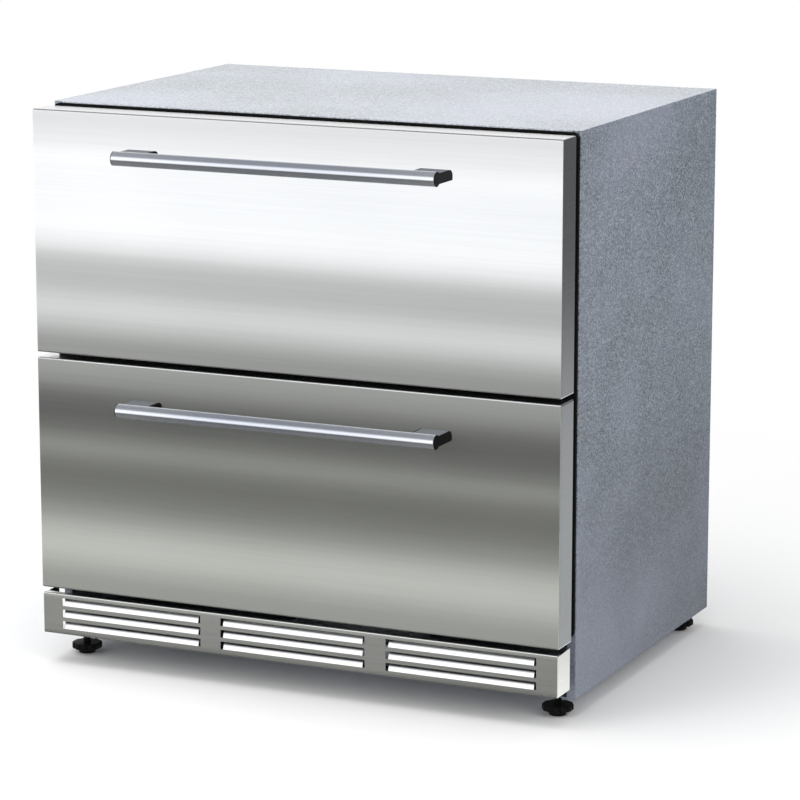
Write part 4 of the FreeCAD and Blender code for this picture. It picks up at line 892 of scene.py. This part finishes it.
def handles():
    """Tube, arms and black end caps of both handles."""
    bore = BAR_RADIUS - BAR_WALL
    tube = BAR_HALF - END_PLATE
    start, end = BAR_HALF - ARM_WIDTH + CAP, BAR_HALF - ARM_WIDTH
    tube_end = [(tube, bore), (tube, BAR_RADIUS - BAR_EASE), (tube - BAR_EASE, BAR_RADIUS),
                (tube / 2, BAR_RADIUS)]
    profile = [(-along, radius) for along, radius in tube_end] + [(0, BAR_RADIUS)] + tube_end[::-1]
    plug = [(tube - PLUG, bore - 1.0), (tube - PLUG + 1, bore - 0.1), (tube, bore - 0.1)]
    for prefix, (_, top) in FRONTS.items():
        axis_z = top - BAR_DROP
        middle = (BAR_Y, axis_z)
        bar, arms, caps = Form(), Form(), Form()
        bar.lathe("X", middle, profile, steps=72, hollow=True)
        hollowed = saddled(axis_z, BAR_RADIUS + ARM_GAP)
        for side in (-1, 1):
            arms.prism("X", *sorted((side * start, side * tube)), hollowed)
            caps.prism("X", *sorted((side * end, side * start)), hollowed)
            caps.prism("X", *sorted((side * tube, side * BAR_HALF)), nosed(axis_z, BAR_RADIUS))
            caps.lathe("X", middle, [(side * along, radius) for along, radius in plug], steps=40)
        drawer = f"{prefix}_drawer"
        pieces = [
            finished(f"{prefix}_handle_tube", bar, drawer, f"{prefix}_handle_bar", "stainless_steel",
                     looks=["bar_steel"]),
            finished(f"{prefix}_handle_posts", arms, drawer, f"{prefix}_handle_arms", "stainless_steel",
                     looks=["arm_steel"]),
            finished(f"{prefix}_handle_end_caps", caps, drawer, f"{prefix}_handle_caps",
                     "black_plastic", edge=0.5, steps=3)]
        # The fronts mirror no handle in the photo.
        for piece in [*pieces, frame["nodes"][f"{prefix}_handle_screws"]]:
            piece.visible_glossy = False


# ------------------------------------------------------------------ outer sheets and feet

SHEET = 1.0
LIP = 14.0
FOLD = 1.4
CREASE = 0.4
SIDE_FOOT = 30.0


def folded(face, inward):
    """The section of a sheet whose front and rear ends are folded in, as (y, place across)."""
    inner, lip = face - inward * SHEET, face - inward * LIP
    corners = [(BODY_Y, lip), (BODY_Y, face), (REAR_Y, face), (REAR_Y, lip), (REAR_Y - SHEET, lip),
               (REAR_Y - SHEET, inner), (BODY_Y + SHEET, inner), (BODY_Y + SHEET, lip)]
    return rounded(corners, [0, FOLD, FOLD, 0, 0, CREASE, CREASE, 0], 4)


def cabinet_sheets():
    """The lid and both side sheets, folded at their edges."""
    top = CABINET_TOP / MM
    reach = HALF - LIP
    lid = Form()
    lid.prism("X", -reach, reach, folded(top, 1))
    for side, name in ((-1, "left"), (1, "right")):
        form = Form()
        form.prism("Z", SIDE_FOOT, top, [(x, y) for y, x in folded(side * HALF, side)])
        finished(f"{name}_side_sheet", form, "cabinet", f"side_panel_{name}", "galvanised_steel")
        near, far = sorted((side * reach, side * (HALF - SHEET)))
        lid.box((near, BODY_Y + SHEET, top - SHEET), (far, REAR_Y - SHEET, top))
    finished("lid_sheet", lid, "cabinet", "top_panel", "lid_steel", edge=0.25, steps=2)


GRILLE = (49.5, 115.0)
GRILLE_INSET = 1.5
GRILLE_LIP = 10.0
GRILLE_BEND = 1.8
SLOT_WIDTH = 245.0
SLOT_HEIGHT = 12.3
SLOT_SPACING = 280.0
SLOT_PITCH = 18.5
SLOT_ROWS = 3
SLOT_MARGIN = 7.0
TONGUE_GAP = 4.2
# From the lower edge of a slot up and back, as (y behind the face, z above the slot's foot).
TONGUE_RUN = [(0.6, 0.0), (1.3, 2.8), (2.0, 5.3), (3.0, 7.5), (4.6, 9.3), (6.8, 10.4)]
TONGUE_WALL = (1.0, -0.35)


def toe_grille(rows):
    """The louvred kick panel: a pierced face with returns, and its leaning tongues."""
    low, high = GRILLE
    reach = HALF - GRILLE_INSET
    sills = [high - SLOT_MARGIN - SLOT_HEIGHT - SLOT_PITCH * row for row in reversed(range(SLOT_ROWS))]
    middles = [-SLOT_SPACING, 0, SLOT_SPACING]
    us = [-reach] + [middle + side * SLOT_WIDTH / 2 for middle in middles for side in (-1, 1)] + [reach]
    vs = [low] + [sill + add for sill in sills for add in (0, SLOT_HEIGHT)] + [high]

    def is_slot(u, v):
        across = any(abs(u - middle) < SLOT_WIDTH / 2 for middle in middles)
        return across and any(sill < v < sill + SLOT_HEIGHT for sill in sills)

    sheet = Form()
    verts = {}

    def vert(*place):
        if place not in verts:
            verts[place] = sheet.mesh.verts.new(place)
        return verts[place]

    for u, u_after in zip(us, us[1:]):
        for v, v_after in zip(vs, vs[1:]):
            if not is_slot((u + u_after) / 2, (v + v_after) / 2):
                cell = rectangle(u, u_after, v, v_after)
                sheet.face([vert(x, FACE_Y, z) for x, z in cell])
    lip = FACE_Y + GRILLE_LIP
    foot = [vert(u, FACE_Y, low) for u in us]
    sheet.face(foot[::-1] + [vert(-reach, SEAL_Y, low), vert(reach, SEAL_Y, low)])
    head = [vert(u, FACE_Y, high) for u in us]
    sheet.face(head + [vert(reach, lip, high), vert(-reach, lip, high)])
    for side in (-reach, reach):
        edge = [vert(side, FACE_Y, v) for v in vs]
        back = [vert(side, lip, high), vert(side, SEAL_Y, high), vert(side, SEAL_Y, low)]
        sheet.face((edge + back)[::-1] if side > 0 else edge + back)
    bmesh.ops.recalc_face_normals(sheet.mesh, faces=sheet.mesh.faces)
    folds = [line for line in sheet.mesh.edges if len(line.link_faces) == 2
             and line.calc_face_angle(0) > math.radians(60)]
    bend_edges(sheet.mesh, folds, GRILLE_BEND, 4)
    finished("toe_grille_sheet", sheet, "cabinet", "toe_grille", "stainless_steel",
             looks=["grille_steel", "return_steel"], sheet=SKIN, heal=False,
             dress=lambda normal: 1 if abs(normal.x) > 0.9 else 0)
    tongue = Form()
    half = SLOT_WIDTH / 2 - TONGUE_GAP
    front = [(FACE_Y + y, z) for y, z in TONGUE_RUN]
    back = [(y + TONGUE_WALL[0], z + TONGUE_WALL[1]) for y, z in reversed(front)]
    tongue.prism("X", -half, half, front + back)
    repeat(rows, "toe_grille_tongues", "cabinet", None, "stainless_steel", tongue,
           (-SLOT_SPACING, 0, sills[0]), 3, (SLOT_SPACING, 0, 0), SLOT_ROWS, (0, 0, SLOT_PITCH))


FEET = {"front_left": (-405.0, -211.5), "front_right": (405.0, -211.5),
        "rear_left": (-405.0, 310.5), "rear_right": (405.0, 310.5)}
# The pad, the grip collar and the threaded stem, as (z, radius) or (z, share of the radius).
PAD = [(0, 0.4), (0, 12.3), (0.7, 13.3), (1.6, 13.5), (5.6, 13.5), (6.6, 12.9), (7.4, 12.0)]
COLLAR = ((7.5, 0.90), (8.0, 0.96), (9.2, 1.0), (15.4, 1.0), (16.5, 0.96), (17.0, 0.90))
COLLAR_RADIUS = 24.0
DIMPLE = 2.2
LOBES = 12
THREAD_FOOT = 17.0
THREAD_PITCH = 3.0
THREAD_TURNS = 13
STEM_TOP = 56.0


def levelling_feet():
    """Pad, scalloped collar and threaded stem of each foot."""
    count = LOBES * 10
    angles = [2 * math.pi * step / count for step in range(count)]
    thread = []
    for turn in range(THREAD_TURNS):
        root = THREAD_FOOT + turn * THREAD_PITCH
        thread += [(root, 5.5), (root + THREAD_PITCH / 2, 6.0)]
    stem = [(THREAD_FOOT - 0.1, 0.3)] + thread + [(STEM_TOP, 5.4), (STEM_TOP, 0.3)]
    for name, (x, y) in FEET.items():
        form = Form()
        form.lathe("Z", (x, y), PAD, steps=40)
        rings = []
        for z, share in COLLAR:
            points = []
            for angle in angles:
                dip = max(0.0, math.cos(LOBES * angle)) ** 1.5
                radius = (COLLAR_RADIUS - DIMPLE * dip) * share
                points.append((x + radius * math.cos(angle), y + radius * math.sin(angle), z))
            rings.append(form.ring(points))
        form.skin(rings)
        form.lathe("Z", (x, y), stem, steps=32)
        finished(f"{name}_levelling_foot", form, f"{name}_foot", f"foot_{name}", "black_plastic")


# Half the bellows' section, from the front's back to the frame, as (across, towards the rear).
BELLOWS = [(-6.9, 0.1), (-6.9, 1.8), (-4.4, 3.0), (-6.2, 5.4), (-6.2, 7.0), (-4.2, 8.6), (-6.4, 10.8),
           (-6.9, 12.6), (-6.3, 14.3)]
SEAL_INSET = 10.0
SEAL_CORNER = 4.0


def gaskets(sweep):
    """The bellows seal round the back of each drawer front."""
    section = BELLOWS + [(-u, v) for u, v in reversed(BELLOWS)]
    points = [metres(u, v, 0) for u, v in section]
    edges = [(index, (index + 1) % len(points)) for index in range(len(points))]
    for prefix, (bottom, top) in FRONTS.items():
        sweep.make(f"{prefix}_seal_bellows", f"{prefix}_drawer", f"{prefix}_gasket", "gasket_rubber",
                   base=(points, edges, []), Width=2 * (HALF - SEAL_INSET) * MM,
                   Height=(top - bottom - 2 * SEAL_INSET) * MM, Corner=SEAL_CORNER * MM,
                   Centre=metres(0, SEAL_Y + 0.1, (bottom + top) / 2))


# ------------------------------------------------------------------ bins and slides

BIN_HALF = 377.0
BIN_REAR = 216.5
BIN_WALL = 2.0
BIN_RIM = 6.0
BIN_BEND = 9.0
STEP_Y = 93.5
# Side outlines (y, z); the lower bin steps up at the rear, over the machinery.
BIN_SIDES = {
    "upper": [(SEAL_Y, 527.4), (BIN_REAR, 527.4), (BIN_REAR, 792.0), (SEAL_Y, 792.0)],
    "lower": [(SEAL_Y, 172.0), (STEP_Y, 172.0), (STEP_Y, 262.0), (BIN_REAR, 262.0), (BIN_REAR, 463.4),
              (SEAL_Y, 463.4)]}


def bins():
    """The two moulded drawer boxes, each with a flat rim."""
    reach, inside = BIN_HALF + BIN_RIM, BIN_HALF - BIN_WALL
    outer = rounded(rectangle(-reach, reach, SEAL_Y, BIN_REAR + BIN_RIM), [3, 3, 14, 14], 8)
    inner = rounded(rectangle(-inside, inside, SEAL_Y + BIN_WALL, BIN_REAR - BIN_WALL), 7, 8)
    for prefix, outline in BIN_SIDES.items():
        top = outline[-1][1]
        drawer = f"{prefix}_drawer"
        # The normals aren't updated before this bend, which leaves it uneven at the lower bin's step.
        tub = open_box(outline, BIN_HALF, lambda corner: corner[1] == top)
        soften(tub, BIN_BEND, 4)
        finished(f"{prefix}_bin_tub", tub, drawer, f"{prefix}_bin", "bin_plastic", sheet=BIN_WALL,
                 heal=False)
        rim = Form()
        rim.skin([rim.ring((x, y, z) for x, y in line) for line, z in
                  ((outer, top - 1.6), (outer, top - 0.4), (inner, top), (inner, top - 2.0))], loop=True)
        finished(f"{prefix}_bin_rim", rim, drawer, None, "bin_plastic")


SLIDE_ENDS = {"outer": -215.5, "middle": -215.5, "inner": SEAL_Y}
SLIDE_HEIGHTS = {"upper": 577.4, "lower": 300.0}
SLIDE_WALL = 1.5
# Web, inner face of the web, lip and half height of each slide member.
SLIDE_SECTIONS = {"outer": (393.0, 391.5, 379.0, 23.0), "middle": (390.7, 389.2, 379.0, 21.1),
                  "inner": (377.0, 378.5, 388.8, 19.2)}
SLIDE_RADII = [2.2, 2.2, 0.5, 0.5, 0.9, 0.9, 0.5, 0.5]


def slides():
    """Rolled channels of the telescopic slides, three to each side of a drawer."""
    for prefix, centre in SLIDE_HEIGHTS.items():
        bodies = {"outer": "cabinet", "middle": f"{prefix}_runner", "inner": f"{prefix}_drawer"}
        for member, (web, inside, tip, half) in SLIDE_SECTIONS.items():
            lip = half - SLIDE_WALL
            section = rounded([(web, -half), (web, half), (tip, half), (tip, lip), (inside, lip),
                               (inside, -lip), (tip, -lip), (tip, -half)], SLIDE_RADII, 4)
            form = Form()
            for side in (-1, 1):
                form.prism("Y", SLIDE_ENDS[member], BIN_REAR, [(side * x, centre + z) for x, z in section])
            finished(f"{prefix}_{member}_channels", form, bodies[member], f"{prefix}_slide_{member}",
                     "slide_steel")


# ------------------------------------------------------------------ back of the cabinet

SCREW_SIDE = 431.0
SCREW_HEIGHTS = (59.6, 185.4, 255.0, 455.1, 655.2, 848.7)
ROUND = math.inf
# Place along the screw, radius and half slot of the cross, from the tip to the foot of the recess.
PAN_HEAD = ((-8.0, 0.3, ROUND), (-8.0, 1.4, ROUND), (-7.0, 2.0, ROUND), (0.0, 2.0, ROUND),
            (0.0, 4.0, ROUND), (0.7, 4.0, ROUND), (1.4, 3.6, ROUND), (1.85, 2.9, ROUND),
            (2.0, 2.5, ROUND), (2.0, 2.0, 0.42), (0.9, 1.5, 0.3))


def crossed(radius, slot, steps=48):
    """A ring of (radius, angle) that follows the arms of a cross with a given half slot."""
    angles = [2 * math.pi * step / steps for step in range(steps)]
    return [(min(radius, slot / max(0.05, min(abs(math.sin(angle)), abs(math.cos(angle))))), angle)
            for angle in angles]


def rear_screws(spots):
    """Pan-head screws with a cross recess."""
    form = Form()
    form.skin([form.ring((reach * math.cos(angle), along, reach * math.sin(angle))
                         for reach, angle in crossed(radius, slot)) for along, radius, slot in PAN_HEAD])
    places = [metres(side * SCREW_SIDE, REAR_Y, z) for side in (-1, 1) for z in SCREW_HEIGHTS]
    spots.make("rear_screw_set", "cabinet", "cabinet_screws", "screw_steel", base=(places, [], []),
               Piece=master("pan_head_screw", form))


COVER_Y = (353.5, 354.5)
COVER_Z = (30.0, 214.7)
# Left, right, bottom and top of the inlet's mouth, and the gap round it in the cover.
INLET = (-341.5, -318.5, 72.0, 88.0)
INLET_GAP = 2.0
# Foot, head, width, pitch and number of the vents, and the middle of their row.
VENTS = (87.5, 157.5, 8.0, 26.0, 9)
VENTS_X = 120.0


def machine_cover():
    """The removable rear sheet with its vents and the inlet's cut-out."""
    low, high, width, pitch, count = VENTS
    left, right, bottom, top = (edge + side * INLET_GAP for edge, side in zip(INLET, (-1, 1, -1, 1)))
    vents = [VENTS_X + pitch * (index - count / 2) for index in range(count)]
    us = sorted([SHEET - HALF, HALF - SHEET, left, right] + [x + add for x in vents for add in (0, width)])
    vs = [COVER_Z[0], bottom, low, top, high, COVER_Z[1]]

    def is_open(u, v):
        if left < u < right and bottom < v < top:
            return True
        return low < v < high and any(x < u < x + width for x in vents)

    form = Form()
    form.plate("Y", *COVER_Y, us, vs, is_open)
    finished("vented_cover", form, "cabinet", "machine_cover", "galvanised_steel", edge=0.3)


# Depth of the inlet's case, its floor and the tips of its pins, along Y.
CASE_Y = 330.5
WELL_Y = 332.5
PIN_TIP_Y = 350.5
# Place and lift of each pin, and its half width and height.
PINS = ((-337, 3.5), (-330, 8.5), (-323, 3.5))
PIN = (1.0, 4.0)


def inlet_outline(grown, cut, radius):
    """The inlet's outline with both upper corners cut off, grown by some margin."""
    left, right, bottom, top = (edge + side * grown for edge, side in zip(INLET, (-1, 1, -1, 1)))
    return rounded([(left, bottom), (right, bottom), (right, top - cut), (right - cut, top),
                    (left + cut, top), (left, top - cut)], radius, 4)


def power_inlet():
    """A recessed mains inlet with three flat pins."""
    mouth = inlet_outline(0, 5, 0.9)
    case = inlet_outline(1.7, 4.7, 0.9)
    collar = inlet_outline(8, 1, 0.4)
    form = Form()
    form.skin([form.ring((x, y, z) for x, z in line) for line, y in
               ((case, CASE_Y), (case, COVER_Y[1]), (collar, COVER_Y[1]), (collar, REAR_Y - 0.3),
                (mouth, REAR_Y), (mouth, WELL_Y))])
    for x, lift in PINS:
        foot = INLET[2] + lift
        pin = rounded(rectangle(x - PIN[0], x + PIN[0], foot, foot + PIN[1]), 0.3, 2)
        form.prism("Y", WELL_Y, PIN_TIP_Y, pin, 1)
    finished("mains_inlet", form, "cabinet", "power_inlet", "black_plastic",
             looks=["black_plastic", "screw_steel"], edge=0.25)


# ------------------------------------------------------------------ controls and lamp

BUTTONS = {"power": -59.4, "down": 41.4, "up": 63.0}
BUTTON_Z = 826.0
HOUSING_Y = -209.5
# A button's dished face, its flange behind the housing and its stem, as (y behind the housing, radius).
BUTTON = [(-1.0, 0.3), (-1.1, 1.8), (-1.4, 3.2), (-1.5, 3.9), (-1.35, 4.3), (-0.9, 4.5), (2.3, 4.5),
          (2.3, 6.0), (3.8, 6.0), (3.8, 2.25), (7.5, 2.25), (7.5, 0.3)]
WINDOW = (-25, 25, 820, 832)
WINDOW_DEPTH = 2.0


def controls():
    """Dished push buttons and the window over the display."""
    for name, x in BUTTONS.items():
        form = Form()
        form.lathe("Y", (x, BUTTON_Z), [(HOUSING_Y + along, radius) for along, radius in BUTTON], steps=40)
        finished(f"{name}_push_button", form, f"{name}_button", f"button_{name}", "button_plastic")
    window = Form()
    window.prism("Y", HOUSING_Y, HOUSING_Y + WINDOW_DEPTH, rounded(rectangle(*WINDOW), 0.6, 3))
    finished("display_window", window, "cabinet", "display_lens", "window_plastic", edge=0.3)


# Half width, front, rear, bottom and top of the lamp's diffuser.
LENS = (140.0, -123.5, -93.5, 829.0, 837.0)
RIBS = 103
RIB_STEP = 2.667
RIB = [(-1.2, 0.9), (-0.8, 0.35), (0, 0.1), (0.8, 0.35), (1.2, 0.9)]


def lamp(rows):
    """The ceiling lamp's diffuser with its row of fine ribs."""
    half, front, rear, bottom, top = LENS
    base = Form()
    base.prism("Z", bottom + 0.8, top, rounded(rectangle(-half, half, front, rear), 2.6, 6))
    finished("lamp_diffuser", base, "cabinet", "lamp_lens", "lamp_plastic", edge=0.5)
    rib = Form()
    rib.prism("Y", front + 2, rear - 2, [(x, bottom + z) for x, z in RIB])
    repeat(rows, "lamp_diffuser_ribs", "cabinet", None, "lamp_plastic", rib,
           (4 - half, 0, 0), RIBS, (RIB_STEP, 0, 0))


# ------------------------------------------------------------------ cooling system

# Hub centre (x, z), front of the hub, its depth, end of the shaft and tip radius.
FANS = {"condenser": (-265.0, 122.5, 205.5, 25.0, 250.5, 68.0),
        "evaporator": (0.0, 771.0, 246.5, 17.0, 277.5, 44.0)}
BLADES = 5
BLADE_THICK = 0.75
BLADE_CAMBER = 0.9
ROOT_TILT = 40.0
TWIST = 14.0
SHAFT = 3.0


def blade_section(reach, chord, tilt):
    """A thin, cambered section across a blade, curved round the shaft at its reach."""
    front = [(step / 5, 1) for step in range(-5, 6)]
    back = [(step / 5, -1) for step in range(4, -5, -1)]
    points = []
    for along, side in front + back:
        thick = (side * BLADE_THICK * math.sqrt(max(0.0, 1 - along ** 2))
                 + BLADE_CAMBER * (1 - along ** 2))
        swing = (along * chord / 2 * math.cos(tilt) - thick * math.sin(tilt)) / reach
        lift = along * chord / 2 * math.sin(tilt) + thick * math.cos(tilt)
        points.append((reach * math.cos(swing), lift, reach * math.sin(swing)))
    return points


def fans(ring):
    """A domed hub with five twisted blades for each fan."""
    for name, (x, z, front, depth, end, radius) in FANS.items():
        hub = radius * 0.3
        nose = Form()
        nose.lathe("Y", (x, z), [(front, 0.3), (front, hub * 0.55), (front + hub * 0.06, hub * 0.8),
                                 (front + hub * 0.16, hub * 0.95), (front + hub * 0.3, hub),
                                 (front + depth, hub), (front + depth, SHAFT), (end, SHAFT), (end, 0.3)])
        finished(f"{name}_fan_hub", nose, f"{name}_fan", f"{name}_fan_blade", "fan_plastic")
        root, tip = hub * 0.9, radius * 0.995
        blade = Form()
        rings = []
        for share in (step / 8 for step in range(9)):
            swell = 0.16 * math.sin(math.pi * min(1.0, share * 1.15) * 0.55)
            chord = radius * (0.5 + swell) * (1.0 if share < 0.9 else 0.86)
            tilt = math.radians(ROOT_TILT - TWIST * share)
            rings.append(blade.ring(blade_section(root + (tip - root) * share, chord, tilt)))
        blade.skin(rings)
        ring.make(f"{name}_fan_blades", f"{name}_fan", None, "fan_plastic",
                  Piece=master(f"{name}_blade", blade), Centre=metres(x, front + depth / 2, z),
                  Turn=(0, 1, 0), Count=BLADES)


# Left end, length, front, depth, foot, bottom, height and rows of tube of each coil.
COILS = {"condenser": (-390.0, 250.0, 152.5, 44.0, 31.5, 43.5, 153.0, 6),
         "evaporator": (-180.0, 360.0, 267.5, 38.0, 580.0, 580.0, 125.0, 4)}
TUBE_COLUMNS = (0.25, 0.75)
TUBE_RADIUS = 3.5
TUBE_OVERHANG = 5.0
FIN_STEP = 2.5
FIN_HALF = 0.12
END_HALF = 0.4


def half_turn(middle, radius, axis, side, up, steps=8):
    """Points of a return bend, without its two ends."""
    x, y, z = middle
    points = []
    for step in range(1, steps):
        angle = math.pi * step / steps
        out, on = side * radius * math.sin(angle), -up * radius * math.cos(angle)
        points.append((x + out, y, z + on) if axis == "Z" else (x + out, y + on, z))
    return points


def column_path(y, order, start, end, first_out, up, level, pitch):
    """The tube's way through one column of rows, to and fro, with its bends."""
    path = []
    for row in order:
        ends = (start, end) if (row % 2 == 0) == first_out else (end, start)
        path += [(x, y, level[row]) for x in ends]
        if row != order[-1]:
            side = 1 if ends[1] == end else -1
            path += half_turn((ends[1], y, level[row] + up * pitch / 2), pitch / 2, "Z", side, up)
    return path


def coils(rows, pipe):
    """Winding tubes through close rows of thin fins."""
    for name, (left, run, front, depth, foot, bottom, height, count) in COILS.items():
        start, end = left - TUBE_OVERHANG, left + run + TUBE_OVERHANG
        pitch = height / count
        near, far = (front + depth * share for share in TUBE_COLUMNS)
        level = [bottom + pitch * (row + 0.5) for row in range(count)]
        upwards = range(count)
        path = column_path(near, upwards[::-1], start, end, True, -1, level, pitch)
        path += half_turn((end, (near + far) / 2, level[0]), (far - near) / 2, "Y", 1, 1)
        path += column_path(far, upwards, start, end, False, 1, level, pitch)
        points = [metres(*point) for point in path]
        lines = [(index, index + 1) for index in range(len(points) - 1)]
        pipe.make(f"{name}_winding", "cabinet", f"{name}_coil", "coil_aluminium",
                  base=(points, lines, []), Radius=TUBE_RADIUS * MM)
        fin = Form()
        fin.prism("X", -FIN_HALF, FIN_HALF, rectangle(front, front + depth, bottom, bottom + height))
        repeat(rows, f"{name}_fins", "cabinet", None, "coil_aluminium", fin,
               (left + FIN_STEP, 0, 0), int(run / FIN_STEP) - 1, (FIN_STEP, 0, 0))
        plates = Form()
        for x in (left, left + run):
            plates.box((x - END_HALF, front, foot), (x + END_HALF, front + depth, bottom + height))
        finished(f"{name}_end_plates", plates, "cabinet", None, "coil_aluminium", edge=0.2, steps=1)


COMPRESSOR = (120.0, 245.5, 46.0)
SHELL_RADIUS = 62.0
SHELL_HEIGHT = 128.0
SHELL_DOME = 24.8
# The weld flange: half height, reach at its edge and reach at its middle.
FLANGE = (2.0, 3.5, 4.0)
BASE_PLATE = (90, 70, 2.5)
MOUNT_REACH = (76.0, 56.0)
MOUNT_FOOT = 31.5
GROMMET = [(0, 0.3), (0, 9.2), (0.8, 10.0), (4.5, 10.0), (5.5, 8.2), (7.5, 8.2), (8.5, 10.0),
           (11.4, 10.0), (12.0, 9.4), (12.0, 4.0), (19.0, 4.0), (19.5, 3.4), (19.5, 0.3)]


def compressor(rows):
    """The domed, welded shell with its plate, terminal box and rubber mounts."""
    x, y, z = COMPRESSOR
    middle = SHELL_HEIGHT / 2
    lower = [(0.0, 1.0)]
    for turn in (math.pi / 2 * step / 8 for step in range(9)):
        lower.append((SHELL_DOME * (1 - math.cos(turn)), SHELL_RADIUS - SHELL_DOME * (1 - math.sin(turn))))
    rise, edge, reach = FLANGE
    lower += [(middle - rise, SHELL_RADIUS), (middle - rise, SHELL_RADIUS + edge),
              (middle - rise + 0.5, SHELL_RADIUS + reach)]
    profile = lower + [(SHELL_HEIGHT - along, radius) for along, radius in reversed(lower)]
    form = Form()
    form.lathe("Z", (x, y), [(z + along, radius) for along, radius in profile], steps=64)
    width, depth, wall = BASE_PLATE
    plate = rounded(rectangle(x - width, x + width, y - depth, y + depth), 12, 6)
    form.prism("Z", z - wall, z - 0.01, plate)
    terminals = rounded(rectangle(x - 24, x + 24, y - 80, y - 44), 4, 5)
    form.prism("Z", z + 68, z + 108, terminals)
    finished("compressor_shell", form, "cabinet", "compressor", "compressor_paint", edge=0.8, steps=3)
    mount = Form()
    mount.lathe("Z", (0, 0), GROMMET, steps=32)
    repeat(rows, "compressor_grommets", "cabinet", "compressor_mounts", "mount_rubber", mount,
           (x - MOUNT_REACH[0], y - MOUNT_REACH[1], MOUNT_FOOT), 2, (2 * MOUNT_REACH[0], 0, 0),
           2, (0, 2 * MOUNT_REACH[1], 0))


def wear_finishes():
    """Gives every node of the frame the finish of its slot."""
    slots = {part["node"]: part["material_slot"] for part in frame["record"]["subparts"]}
    for name, item in frame["nodes"].items():
        item.data.materials.clear()
        item.data.materials.append(FINISHES[slots[name]])


set_camera()
light_room()
hang_lamps()
lay_floor()
mix_finishes()
wear_finishes()
rows = rows_pattern()
ring = ring_pattern()
sweep = frame_pattern()
spots = spots_pattern()
pipe = pipe_pattern()
drawer_fronts()
handles()
cabinet_sheets()
toe_grille(rows)
levelling_feet()
gaskets(sweep)
bins()
slides()
rear_screws(spots)
machine_cover()
power_inlet()
controls()
lamp(rows)
fans(ring)
coils(rows, pipe)
compressor(rows)

bpy.context.scene.view_settings.view_transform = "Standard"
